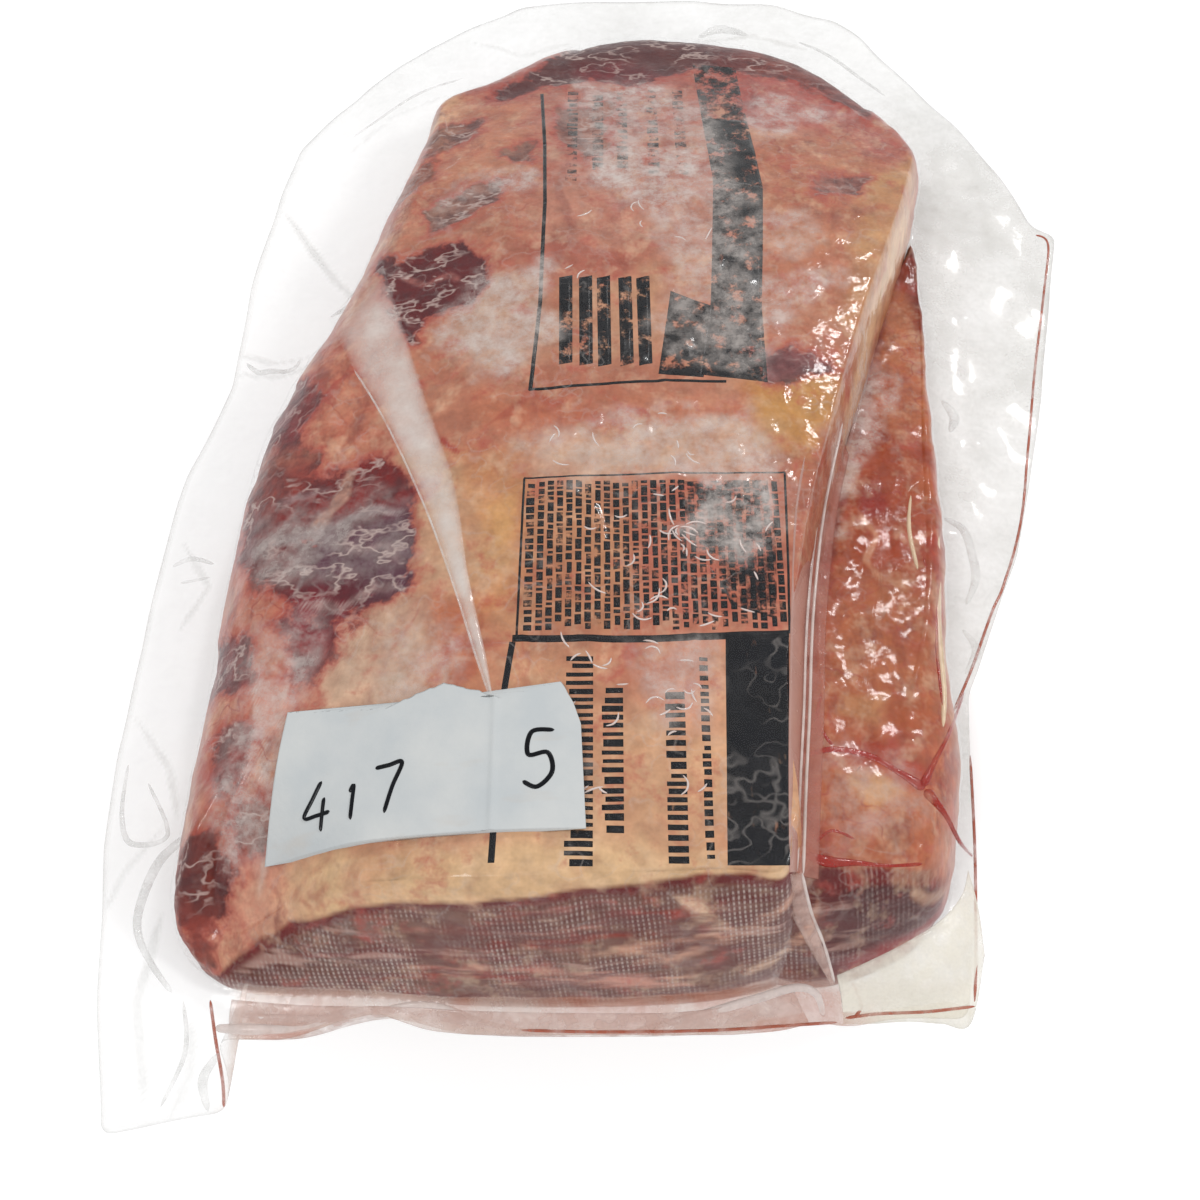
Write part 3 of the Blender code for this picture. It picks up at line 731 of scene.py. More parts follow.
# Lower muscle
# The second muscle juts out to the right under the first. Its fat is darker and orange, and its cut end is
# dark red lean. The upper muscle hides the rest of it.
LEDGE_NEAR_TOP = 33.0
LEDGE_FAR_TOP = 16.0
LEDGE_BASE = 0.3
LEDGE_FALL_Y = (-140.0, 70.0)
LEDGE_HEART = (50.0, -125.0)
LEDGE_RIM = (
    (8, -158, 10, 5, 1.5), (32, -168, 14, 3, 1.3), (54, -165, 14, 3, 1.3), (72, -151, 13, 5, 1.7),
    (79, -118, 15, 11, 2), (80, -84, 16, 12, 2), (84, -42, 16, 12, 2), (85, 2, 14, 12, 2),
    (88, 46, 10, 10, 2), (87, 68, 6, 8, 2), (78, 50, 6, 8, 2), (61, 2, 10, 8, 2),
    (44, -50, 12, 8, 2), (34, -96, 13, 8, 2), (29, -120, 13, 8, 2), (14, -140, 13, 7, 2),
)
LEDGE_FIELDS = (
    ((186, 128, 92), 0.8, 5, 5, ((52, -66), (82, -62), (80, -104), (42, -104))),
    ((168, 84, 56), 0.8, 5, 5, ((52, -66), (84, -66), (84, -6), (60, -8))),
    ((196, 134, 96), 0.8, 4, 4, ((74, 14), (84, 8), (85, -22), (70, -18))),
    ((204, 144, 104), 0.8, 4, 3, ((76, 46), (84, 44), (82, 6), (70, 8))),
    ((150, 78, 62), 0.8, 3, 3, ((82, 68), (90, 66), (90, 20), (84, 26), (81, 48))),
    ((118, 62, 58), 0.8, 2, 3, ((84, 64), (90, 60), (90, 10), (87, 12), (85, 44))),
    ((200, 140, 106), 0.8, 4, 4, ((40, -122), (62, -120), (74, -112), (74, -146), (56, -150), (42, -146))),
    ((226, 196, 140), 0.7, 2, 4, ((46, -124), (58, -124), (62, -132), (52, -134), (46, -130))),
    ((212, 178, 132), 0.6, 2, 4, ((46, -110), (56, -112), (58, -104), (48, -104))),
    ((218, 188, 146), 0.8, 3, 3, ((77, -60), (86, -62), (86, -118), (78, -120), (76, -90))),
    ((176, 70, 50), 0.7, 2, 3, ((44, -118), (60, -119), (66, -126), (62, -130), (54, -124), (44, -122))),
    ((150, 56, 44), 0.7, 2, 3, ((58, -34), (66, -30), (66, -44), (60, -48))),
    ((196, 130, 92), 0.6, 3, 4, ((74, -26), (84, -30), (82, -52), (74, -50))),
)
# Tint, strength, half width, raggedness and path of each vein; the first is a dark line of painted shade
# along the crevice under the upper muscle.
LEDGE_VEINS_AND_CREVICE_SHADE = (
    ((134, 70, 66), 0.8, 2.2, 1.2, ((78, 50), (68, 14), (58, -24), (50, -54), (42, -84), (37, -116),
     (36, -146))),
    ((206, 176, 166), 0.5, 1.4, 1.2, ((66, 2), (60, -14), (58, -26), (54, -40))),
    ((200, 168, 160), 0.5, 1.4, 1.5, ((72, 22), (66, 0), (64, -18))),
    ((232, 196, 160), 0.6, 0.8, 0.8, ((58, -46), (62, -54), (58, -62), (62, -70))),
    ((178, 76, 56), 0.7, 1.2, 1.2, ((82, -44), (76, -58), (78, -74), (72, -86))),
)
# Height, size, seed and octaves of its lumps, how far they are sunk, and the first seeds of its ragged
# edges.
LEDGE_LUMPS = ((0.9, 26, 41, 2), (0.6, 10, 42, 3), (0.3, 5, 43, 2))
LEDGE_SUNK = 0.8
LEDGE_FIELD_SEED, LEDGE_VEIN_SEED = 200, 230


def ledge_top(x, y):
    """Height of the lower muscle's top, which falls along Y and is level along X."""
    return LEDGE_NEAR_TOP + (LEDGE_FAR_TOP - LEDGE_NEAR_TOP) * smooth(*LEDGE_FALL_Y, y)


def ledge_lumps(x, y, z):
    """Lumps of the lower muscle, like the upper one's but rounder."""
    return lumps(x, y, z, LEDGE_LUMPS, LEDGE_SUNK)


def ledge_paint(x, y, z):
    """Colours of the lower muscle: orange fat, painted shade along the crevice, dark lean on the cut end."""
    colours = layered(np.broadcast_to(linear((184, 116, 84)), (*x.shape, 3)), (
        (smooth(20.0, 60.0, y), (168, 96, 80)),
        (0.6 * smooth(0.0, 0.7, ripple(x, y, 18, 44, 3)), (160, 78, 56)),
        (0.4 * smooth(0.1, 0.7, ripple(x, y, 13, 45, 3)), (212, 160, 116)),
    ))
    colours = stained(colours, x, y, LEDGE_FIELDS, LEDGE_FIELD_SEED)
    colours = streaked(colours, x, y, LEDGE_VEINS_AND_CREVICE_SHADE, LEDGE_VEIN_SEED)
    return cut_paint(tinted(colours, 0.6 * smooth(14.0, 5.0, z), (150, 84, 66)), x, y, z)


LEDGE = (LEDGE_RIM, LEDGE_HEART, ledge_top, LEDGE_BASE)
_, ledge_skin = skins(LEDGE, (74, 46, 6, 5), 470, 1.4, ledge_lumps)
lower_muscle = piece("lower_muscle", [surface(ledge_skin)], raw_meat, replaced="brisket_pack")
ledge_x, ledge_y, ledge_z = np.moveaxis(ledge_skin, 2, 0)
ledge_fat = ledge_paint(ledge_x, ledge_y, ledge_z)
ledge_cut = cut_share(ledge_x, ledge_y, ledge_z)
keep_colour(lower_muscle, "flesh", ledge_fat * np.array([0.88, 0.66, 0.62]))
keep_colour(lower_muscle, "lean", ledge_fat * 0.5)
keep_share(lower_muscle, "island", np.zeros(ledge_x.shape))
keep_share(lower_muscle, "cut", ledge_cut * (1 - 0.75 * smooth(36.0, 56.0, ledge_x)))
keep_share(lower_muscle, "blush", 0.75 * (1 - ledge_cut))

# Film over the meat
# Clear heat-shrunk film, tight on both muscles. It bridges small hollows, is milky where air or frost lies
# under it, and its fine creases catch the light; pale lines painted on it stand for more glints of crinkles.
FILM_GAP = 0.55
FILM_IOR = 1.36
MOST_MIRRORED = 0.25
VEIL_SEED = 260
# Strength, softness, raggedness and outline of each milky patch.
VEILS = (
    (0.34, 5, 8, ((-24, 112), (22, 106), (34, 30), (31, -18), (14, 4), (4, 40), (-16, 70))),
    (0.40, 3, 7, ((37, 117), (59, 111), (68, 106), (48, 95), (36, 88))),
    (0.30, 3, 7, ((28, 46), (46, 47), (60, 34), (45, 25), (34, 29))),
    (0.36, 3, 7, ((30, 22), (55, 20), (43, 6), (33, -3))),
    (0.42, 4, 7, ((-44, 20), (-24, 24), (-24, -4), (-38, -18), (-52, -9), (-58, 2))),
    (0.34, 4, 8, ((-30, -36), (20, -26), (34, -38), (34, -50), (-24, -50), (-36, -44))),
    (0.42, 3, 6, ((14, -50), (32, -49), (33, -68), (20, -76), (10, -66))),
    (0.30, 3, 6, ((6, 16), (30, 10), (32, -16), (14, -12), (2, 0))),
    (0.16, 3, 6, ((-100, -52), (-62, -50), (-58, -76), (-84, -80), (-104, -66))),
    (0.34, 4, 5, ((-98, -86), (-84, -90), (-86, -128), (-92, -146), (-104, -138), (-100, -110))),
    (0.30, 3, 5, ((-6, -98), (16, -98), (14, -124), (0, -120))),
    (0.30, 3, 5, ((-62, -90), (-44, -92), (-46, -112), (-66, -112))),
    (0.40, 2, 4, ((68, 14), (76, 6), (66, -22), (58, -34), (52, -54), (50, -44), (58, -10))),
    (0.22, 3, 6, ((42, -118), (60, -120), (64, -140), (42, -146))),
    (0.45, 2, 3, ((-97, -98), (-92, -104), (-93, -132), (-98, -148), (-101, -140), (-96, -120))),
    (0.35, 3, 4, ((-86, -84), (-80, -90), (-84, -112), (-90, -108))), (0.4, 4, 6, ((-58, 66), (-30, 70),
     (-34, 60), (-58, 56))),
    (0.5, 3, 5, ((-16, 86), (18, 84), (20, 60), (4, 44), (-14, 58))), (0.45, 3, 5, ((-20, 122), (10, 122),
     (12, 102), (-16, 104))),
    (0.3, 3, 5, ((-104, -62), (-92, -52), (-74, -60), (-84, -76), (-100, -76))),
)


def film_creases(x, y):
    """Fine creases of the film, thin ridges on the zero lines of smooth noise."""
    lines = np.exp(-((ripple(x, y, 23, 51, 3) / 0.05) ** 2))
    return 0.35 * lines * smooth(-0.3, 0.5, ripple(x, y, 40, 52)) + 0.12 * ripple(x, y, 7, 53)


def cap_film_height(x, y):
    """Height of the film on the fat cap at a plan point."""
    top = cap_top(x, y)
    return top + cap_lumps(x, y, top) + FILM_GAP + film_creases(x, y)


def ledge_film_height(x, y):
    """Height of the film on the lower muscle at a plan point."""
    top = ledge_top(x, y)
    return top + ledge_lumps(x, y, top) + FILM_GAP + film_creases(x, y)


def veil_share(x, y):
    """How milky the film is at a plan point."""
    share = 0.008 + 0.008 * ripple(x, y, 12, 54, 3)
    for number, (strength, soft, ragged, outline) in enumerate(VEILS):
        share = np.maximum(share, strength * stain(x, y, outline, soft, ragged, VEIL_SEED + number))
    return share


def make_film(name, gloss_rough, bump_strength, wisp_low, wisp_high, glint_share):
    """Clear film: a capped Fresnel share of mirrored light over what lies behind, made milky by the painted
    veil, with pale lines along the level lines of noise painted as the glints of fine crinkles."""
    material, tree = new_material(name)
    lines = times(tree, threads(tree, 85, 0.035, 2), spots(tree, 0.5, 0.62, 1.0, 55, 2))
    thin = times(tree, threads(tree, 160, 0.035, 1), spots(tree, 0.5, 0.6, 1.0, 38, 2))
    # Painted highlights: pale lines where the film's fine crinkles would glint.
    glint_lines = times(tree, maths(tree, "MAXIMUM", lines, thin), glint_share)
    wisps = ranged(tree, noise(tree, 150, 4, 0.72), 0.36, 0.66, wisp_low, wisp_high)
    milk = maths(tree, "MAXIMUM", glint_lines, times(tree, stored(tree, "veil"), wisps))
    height = maths(tree, "ADD", noise(tree, 400, 1), times(tree, noise(tree, 120, 1), 1.6))
    bump = bumped(tree, height, bump_strength, 0.0006)
    fresnel = node(tree, "Fresnel", {"IOR": FILM_IOR, "Normal": bump}).outputs[0]
    front = maths(tree, "SUBTRACT", 1.0, node(tree, "NewGeometry").outputs["Backfacing"])
    mirrored = times(tree, maths(tree, "MINIMUM", fresnel, MOST_MIRRORED), front)
    behind = node(tree, "BsdfTransparent").outputs[0]
    gloss = node(tree, "BsdfGlossy", {"Roughness": gloss_rough, "Normal": bump}).outputs[0]
    plain = node(tree, "MixShader", {0: mirrored, 1: behind, 2: gloss}).outputs[0]
    tone = stored(tree, "tone", "Color")
    milky = node(tree, "BsdfPrincipled", {"Base Color": tone, "Roughness": 0.35, "Normal": bump}).outputs[0]
    return surfaced(material, node(tree, "MixShader", {0: milk, 1: plain, 2: milky}))


tight_film = make_film("tight_film", 0.11, 0.24, 0.1, 1.7, 0.17)
round_film = make_film("round_film", 0.13, 0.14, 0.1, 1.7, 0.16)


def clear_piece(name, parts, material, replaced=None):
    """A piece of clear film, or of what lies in it: it casts no shadow and is left out of bounced light."""
    obj = piece(name, parts, material, replaced=replaced)
    obj.visible_shadow = False
    obj.visible_diffuse = False
    obj.visible_glossy = False
    return obj


def keep_veil(obj, shares, tones):
    """Stores how milky a film is at each vertex, and the colour of its milk."""
    keep_share(obj, "veil", shares)
    keep_colour(obj, "tone", tones, 1.0, 0.0)


def plain_tone(x, tint):
    """One milk colour all over."""
    return np.broadcast_to(linear(tint), (*x.shape, 3))


# Name, muscle and its lumps, rings and turns, how much closer these are at the near edge, material, milk's
# tint.
TIGHT_FILMS = (
    ("upper_film", CAP, cap_lumps, (84, 40, 4, 3), 560, 1.5, tight_film, (206, 196, 190)),
    ("lower_film", LEDGE, ledge_lumps, (66, 40, 4, 3), 440, 1.4, round_film, (206, 190, 182)),
)
for name, muscle, bulges, rings, count, favour, material, milk in TIGHT_FILMS:
    plain, skin = skins(
        muscle, rings, count, favour, lambda x, y, z: bulges(x, y, z) + FILM_GAP + film_creases(x, y),
    )
    shrunk = clear_piece(name, [surface(skin)], material, "brisket_pack")
    keep_veil(shrunk, veil_share(plain[..., 0], plain[..., 1]), plain_tone(plain[..., 0], milk))

# Flat film round the pack
# The bag's spare film: two sheets stuck flat on each other all round the meat, wavy and puckered where they
# leave it. They end in a heat seal at the far end, and in a long tail at the near left.
MARGIN_EDGE = (
    (-97, -197), (-97, -190), (-101, -181), (-84, -181), (-73, -177), (-64, -175), (-52, -179), (-42, -180),
    (-12, -180), (19, -180), (31, -179), (39, -177), (47, -178), (58, -176), (75, -176), (78, -161),
    (82, -133), (84, -108), (86, -90), (89, -84), (100, -58), (106, -45), (114, -17), (122, 13),
    (131, 54), (137, 81), (130, 86), (123, 109), (110, 136), (95, 160), (83, 181), (73, 192),
    (55, 199), (25, 202), (-12, 202), (-41, 199), (-73, 176), (-93, 154), (-114, 123), (-118, 99),
    (-123, 58), (-123, 17), (-132, -17), (-135, -45), (-136, -74), (-137, -108), (-136, -133), (-133, -153),
    (-131, -171), (-125, -202),
)
MARGIN_TURNS = 900
MARGIN_ROWS = 46
MARGIN_ROOT = 12.0
MARGIN_THICK = 0.35
MARGIN_LIFT = 6.0
MARGIN_FALL = 15.0
# Place, rise and reach of each pucker of the flat film.
PUCKERS = (
    (104, 44, 1.6, 4.0), (101, -6, 1.6, 4.0), (90, -40, 1.6, 5.0), (-122, -118, 1.2, 6), (-112, 22, 1.2, 3),
)


def even_points(corners, count):
    """Points evenly spaced along a closed line of corners, from its first."""
    corners = np.array(corners, float)
    closed = np.vstack([corners, corners[:1]])
    length = np.concatenate([[0.0], np.cumsum(np.linalg.norm(np.diff(closed, axis=0), axis=1))])
    place = np.linspace(0.0, length[-1], count, endpoint=False)
    return np.column_stack([np.interp(place, length, closed[:, k]) for k in (0, 1)])


def evened(values, reach):
    """Values round a loop, each replaced by the mean of its neighbours within reach."""
    return sum(np.roll(values, k, axis=0) for k in range(-reach, reach + 1)) / (2 * reach + 1)


RIM_POINTS = 400
rim_turn = np.arange(RIM_POINTS) / RIM_POINTS
rims = np.vstack([spline(rows, rim_turn * len(rows), True)[:, :2] for rows in (CAP_RIM, LEDGE_RIM)])


def nearest_rim(x, y):
    """Distance from plan points to the nearer muscle's rim."""
    flat = np.column_stack([x.ravel(), y.ravel()])
    blocks = np.array_split(flat, 40)
    gaps = [np.linalg.norm(block[:, None] - rims[None], axis=2).min(axis=1) for block in blocks]
    return np.concatenate(gaps).reshape(x.shape)


def margin_height(x, y, gap):
    """Height of the flat film: it leaves the meat's side, drops to the table, and waves more the further
    out."""
    low = MARGIN_THICK + 0.15
    waves = 0.7 * (1 + np.sin(x * 0.16 + 2 * ripple(x, y, 40, 71)) * np.cos(y * 0.13))
    crinkle = 0.3 * (1 + ripple(x, y, 15, 72, 1)) + 0.05 * (1 + ripple(x, y, 6, 73, 1))
    height = low + MARGIN_LIFT * np.exp(-gap / MARGIN_FALL) + (waves + crinkle) * smooth(2.0, 16.0, gap)
    for px, py, rise, reach in PUCKERS:
        height = height + rise * np.exp(-(((x - px) ** 2 + (y - py) ** 2) / reach**2))
    return height


margin_edge = evened(even_points(MARGIN_EDGE, MARGIN_TURNS), 2)
closest = rims[np.linalg.norm(margin_edge[:, None] - rims[None], axis=2).argmin(axis=1)]
toward_rim = closest - margin_edge
toward_rim /= np.linalg.norm(toward_rim, axis=1)[:, None]
margin_root = evened(closest + toward_rim * MARGIN_ROOT, 12)
out_share = np.linspace(0.0, 1.0, MARGIN_ROWS)[:, None, None]
margin_plan = margin_root + (margin_edge - margin_root) * out_share
margin_x, margin_y = margin_plan[..., 0], margin_plan[..., 1]
margin_gap = nearest_rim(margin_x, margin_y)
margin_z = margin_height(margin_x, margin_y, margin_gap)
upper_sheet = np.dstack([margin_x, margin_y, margin_z])
lower_sheet = upper_sheet - [0.0, 0.0, MARGIN_THICK]
margin_grid = np.concatenate([upper_sheet, lower_sheet[::-1]])
loose_film = make_film("loose_film", 0.08, 0.05, 0.8, 1.2, 0.05)
film_margin = clear_piece("film_margin", [surface(margin_grid, ring=True)], loose_film, "brisket_pack")
# Strength, half width and path of each fold of the flat film, painted as a grey line of shade.
FOLD_SHADE_LINES = (
    (0.30, 1.2, ((-118, 96), (-96, 60), (-82, 44), (-78, 40))), (0.22, 0.8, ((-123, 30), (-112, 26),
     (-100, 28))),
    (0.22, 0.8, ((-123, 22), (-110, 20), (-100, 24))), (0.25, 1.0, ((-130, -40), (-120, -56), (-126, -70))),
    (0.22, 1.0, ((-135, -95), (-122, -112), (-118, -126))), (0.2, 1.0, ((-120, -126), (-130, -140),
     (-134, -152))),
    (0.25, 1.4, ((-118, -150), (-121, -172), (-116, -196))), (0.22, 1.4, ((-108, -176), (-106, -188),
     (-110, -200))),
    (0.25, 1.2, ((-60, 180), (-40, 170), (-20, 178))), (0.3, 1.2, ((20, 176), (44, 182), (66, 172))),
    (0.25, 1.2, ((84, 150), (100, 128), (98, 112))), (0.2, 1.0, ((92, 96), (112, 96), (128, 84))),
    (0.2, 1.4, ((98, 60), (108, 20), (104, -10))), (0.2, 1.0, ((92, -20), (104, -24), (110, -22))),
    (0.35, 1.0, ((86, -60), (94, -62), (98, -56))), (0.2, 1.0, ((-96, 120), (-84, 138), (-60, 150))),
)
FOLD_SEED = 300
margin_veil = 0.05 + 0.30 * smooth(58.0, 96.0, margin_x) * smooth(170.0, 120.0, margin_y)
margin_veil = margin_veil + 0.10 * smooth(110.0, 170.0, margin_y) + 0.05 * smooth(-168.0, -185.0, margin_y)
margin_veil = margin_veil * (1 + 0.5 * ripple(margin_x, margin_y, 22, 74, 3))
for fold_number, (fold_strength, fold_width, fold_path) in enumerate(FOLD_SHADE_LINES):
    fold_shade = streak(margin_x, margin_y, fold_path, fold_width, 0.5, FOLD_SEED + fold_number)
    margin_veil = np.maximum(margin_veil, fold_strength * fold_shade)
rim_share = np.broadcast_to(out_share[..., 0], margin_x.shape)
# Painted shade: a grey line along the film's outer edge.
margin_veil = np.maximum(margin_veil, 0.28 * smooth(0.95, 1.0, rim_share))
lip = smooth(-165.0, -171.0, margin_y) * smooth(-101.0, -94.0, margin_x)
margin_veil = np.maximum(margin_veil, 0.42 * lip)
margin_tone = layered(plain_tone(margin_x, (200, 198, 192)), (
    (smooth(0.0, -60.0, margin_x), (222, 222, 220)),
    (lip, (206, 178, 164)),
    (lip * smooth(-0.2, 0.5, ripple(margin_x, margin_y, 14, 75, 3)), (192, 128, 104)),
    (lip * smooth(40.0, 60.0, margin_x), (226, 218, 200)),
))
keep_veil(film_margin, *(np.concatenate([grid, grid[::-1]]) for grid in (margin_veil, margin_tone)))

# Print on the film
# Black ink just under the film's gloss: two ruled frames, a solid band at the right of each, rows of small
# marks and coarse columns of bars, all generic. The ink is cracked and rubbed off in patches set by noise.
INK_LIFT = -0.36
INK_THICK = 0.06
INK_STEP = 1.2
DASH_STEP = 1.7
# Width and plan path of each ruled line, near and far.
NEAR_RULES = (
    (1.5, ((-32.5, -98), (-34.5, -114), (-35.7, -153))), (1.9, ((-32.6, -97), (0, -97.4), (33.6, -96))),
    (0.6, ((-31.6, -97), (-31.2, -72), (-30.9, -50.5))), (0.5, ((-31, -50.4), (0, -49.4), (35.6, -48.6))),
    (0.6, ((35.6, -48.6), (34.8, -72), (33.8, -96))),
)
FAR_RULES = (
    (1.1, ((-30.4, 117), (-28.6, 84), (-27.7, 52), (-28.1, 10), (-30.1, -21.6))),
    (0.9, ((-30.4, -21.4), (-14, -19.6), (6, -18), (22, -18.6))),
)
# Plan corners of each solid block of ink.
NEAR_BLOCK = ((18.4, -97), (33.6, -96), (30.4, -153.5), (16.6, -153.5))
BAND_BLOCKS = (
    ((20.4, 100), (34.6, 98), (36.6, 60), (22, 62)), ((22, 62), (36.6, 60), (33, 8), (19, 10)),
    ((19, 10), (33, 8), (33, -19), (15, -16)), ((4, -16), (16, -17), (20, 8), (8, 14)),
    *(((x, 19), (x + 3.7, 20), (x + 4.0, -12), (x + 0.4, -13)) for x in (-23.0, -17.5, -12.5, -6.5, -1.5)),
)
SMUDGE_BLOCKS = (
    ((19, 134), (33, 132), (34.6, 98), (20.4, 100)), ((8, -52), (31, -51), (32, -70), (12, -72)),
    ((14, -70), (32, -70), (31, -92), (20, -88)),
)
# Left side, width, near end and far end of each column of bars, and of the heading of the mark rows.
BAR_COLUMNS = (
    (-19.6, 6.4, -154, -102), (-11.2, 5.0, -146, -110), (3.6, 4.6, -153, -111), (11.9, 2.0, -152, -101),
)
HEADING_ROW = (-30.2, 2.1, -95.0, -51.5)
MARK_ROWS = 26
MARK_PITCH = 2.36
MARK_WIDE = 1.6
FIRST_MARK_X = -27.2
SMUDGE_COLUMNS = (-22.0, -14.0, -6.5, 3.0, 11.5)
SMUDGE_WIDE = 3.4
SMUDGE_Y = (60.0, 118.0)
GAP_DRAW = (0.6, 1.4)
MOST_NOTCH = 0.25


def sheet_body(top, thickness):
    """Closed thin body under a grid of points: its other side lies the thickness away along the grid's
    normal."""
    normal = np.cross(np.gradient(top, axis=0), np.gradient(top, axis=1))
    normal /= np.maximum(np.linalg.norm(normal, axis=2), 1e-9)[..., None]
    under = top - normal * thickness
    return surface(np.concatenate([top, under[:, ::-1]], axis=1))


def ink_strip(corners, step=INK_STEP):
    """Thin body of ink on the fat cap's film between four plan corners, in order round it."""
    a, b, c, d = (np.array(corner, float) for corner in corners)
    across = max(2, round(max(np.linalg.norm(b - a), np.linalg.norm(c - d)) / step) + 1)
    along = max(2, round(max(np.linalg.norm(d - a), np.linalg.norm(c - b)) / step) + 1)
    u = np.linspace(0.0, 1.0, across)[None, :, None]
    v = np.linspace(0.0, 1.0, along)[:, None, None]
    plan = (a + (b - a) * u) * (1 - v) + (d + (c - d) * u) * v
    height = cap_film_height(plan[..., 0], plan[..., 1]) + INK_LIFT + INK_THICK
    return sheet_body(np.dstack([plan, height]), INK_THICK)


def ink_lines(rules):
    """Ruled lines of ink, each of a width along a plan path."""
    strips = []
    for width, path in rules:
        points = np.array(path, float)
        for start, end in zip(points[:-1], points[1:]):
            side = np.array([-(end - start)[1], (end - start)[0]])
            side *= width / 2 / np.linalg.norm(side)
            strips.append(ink_strip((start - side, start + side, end + side, end - side)))
    return strips


def make_ink(name, worn_low, worn_high):
    """Ink: near black, see-through where noise has rubbed it off, with some gloss of the film."""
    material, tree = new_material(name)
    rubbed = noise(tree, 210, 5, 0.7)
    scratched = noise(tree, 500, 2, 0.5, (1.0, 0.35, 1.0))
    worn = ranged(tree, rubbed, worn_low, worn_high, 0.0, 1.0)
    return surfaced(material, node(tree, "BsdfPrincipled", {
        "Base Color": dyed(tree, noise(tree, 90, 3), rgba((4, 5, 8)), (16, 19, 27)),
        "Specular IOR Level": 0.2,
        "Roughness": ranged(tree, rubbed, 0.3, 0.7, 0.16, 0.34),
        "Alpha": times(tree, worn, ranged(tree, scratched, 0.22, 0.34, 0.4, 1.0)),
        "Normal": bumped(tree, noise(tree, 240, 3), 0.4, 0.0005),
    }))


firm_ink = make_ink("firm_ink", 0.22, 0.3)
worn_ink = make_ink("worn_ink", 0.37, 0.49)
faint_ink = make_ink("faint_ink", 0.44, 0.62)
draws = np.random.default_rng(81)


def dashes(left, wide, near_end, far_end, shortest, longest, gap):
    """Strips of ink one after another along Y, of drawn lengths, with a gap between them."""
    strips = []
    start = near_end
    while start < far_end - shortest:
        end = min(start + draws.uniform(shortest, longest), far_end)
        cut = draws.uniform(0.0, MOST_NOTCH) * wide * draws.integers(0, 2)
        sides = left + cut, left + wide
        corners = ((sides[0], start), (sides[1], start), (sides[1], end), (sides[0], end))
        strips.append(ink_strip(corners, DASH_STEP))
        start = end + draws.uniform(*GAP_DRAW) * gap
    return strips


marks = dashes(*HEADING_ROW, 1.0, 2.2, 0.7)
for row in range(MARK_ROWS):
    marks += dashes(
        FIRST_MARK_X + row * MARK_PITCH, MARK_WIDE, HEADING_ROW[2] + draws.uniform(0.0, 3.0), HEADING_ROW[3],
        0.7, 3.4, 0.55,
    )
smudges = [ink_strip(corners) for corners in SMUDGE_BLOCKS]
for left in SMUDGE_COLUMNS:
    smudges += dashes(left, SMUDGE_WIDE, SMUDGE_Y[0] + draws.uniform(0.0, 12.0), SMUDGE_Y[1], 1.0, 4.0, 1.2)
bars = [bar for column in BAR_COLUMNS for bar in dashes(*column, 0.9, 1.9, 0.9)]
clear_piece("print_near", [*ink_lines(NEAR_RULES), ink_strip(NEAR_BLOCK)], firm_ink)
clear_piece("print_far", ink_lines(FAR_RULES), firm_ink)
clear_piece("print_band", [ink_strip(corners) for corners in BAND_BLOCKS], worn_ink)
clear_piece("print_rows", marks, worn_ink)
clear_piece("print_smudges", smudges, faint_ink)
clear_piece("print_bars", bars, firm_ink)

# Pleats, ridges and rolls of film
# Spare film gathers in a flat wedge on the left of the fat cap, bridges the crevice between the muscles with
# a ridge at its foot, painted near white as a highlight, and rolls up along the near edge in rolls painted
# the same.
SHEET_THICK = 0.1
WEB_WAVES = (7, 311, 2)
PLEAT_GRID = (160, 16)
PLEAT_LIFT = 0.25
PLEAT_CROWN = 0.5
ROLL_SIDES = 10
THIN_SIDES = 6
THIN_STEP = 0.5


def between(first, second, count, rows):
    """Grid between two paths of equal rows, and the share of the way from the first to the second."""
    place = np.linspace(0.0, len(first) - 1.0, count)
    share = np.linspace(0.0, 1.0, rows)[None, :, None]
    grid = spline(first, place, False)[:, None] * (1 - share) + spline(second, place, False)[:, None] * share
    return grid, share


def roll(path, height=None, flat=1.0, sides=ROLL_SIDES, spacing=0.8):
    """Tube along rows of x, y, z and radius, or of x, y and radius on a height; its ends shrink to
    points."""
    path = np.array(path, float)
    length = np.linalg.norm(np.diff(path[:, :2], axis=0), axis=1).sum()
    place = np.linspace(0.0, len(path) - 1.0, max(8, int(length / spacing)))
    rows = spline(path, place, False)
    radius = rows[:, -1]
    middle = rows[:, :3].copy()
    if height is not None:
        middle[:, 2] = height(rows[:, 0], rows[:, 1])
    ahead = np.gradient(middle, axis=0)
    ahead /= np.linalg.norm(ahead, axis=1)[:, None]
    side = np.cross(ahead, [0.0, 0.0, 1.0])
    side /= np.linalg.norm(side, axis=1)[:, None]
    over = np.cross(side, ahead)
    taper = np.sqrt(np.clip(np.minimum(place, place[::-1]) * 4 + 0.02, 0.0, 1.0)) * radius
    angle = np.arange(sides) / sides * 2 * np.pi
    aside, above = np.cos(angle)[None, :, None], flat * np.sin(angle)[None, :, None]
    ring = aside * side[:, None, :] + above * over[:, None, :]
    return surface(middle[:, None, :] + ring * taper[:, None, None])


def roll_piece(name, paths, material, height=None, flat=1.0):
    """One piece of several rolls."""
    return clear_piece(name, [roll(path, height, flat) for path in paths], material)


def even_rolls(paths, radius):
    """The same paths with one radius added to every row."""
    return [[(*row, radius) for row in path] for path in paths]


def web(first, second, belly, rows=14, count=120, wrinkle=0.3):
    """Thin sheet of film between two paths in space, bellied out halfway and wrinkled."""
    grid, share = between(first, second, count, rows)
    grid = grid + np.sin(np.pi * share) * np.array(belly, float)
    waves = wrinkle * ripple(grid[..., 0], grid[..., 1], *WEB_WAVES)
    grid[..., 2] += waves * np.sin(np.pi * share[..., 0])
    return sheet_body(grid, SHEET_THICK)


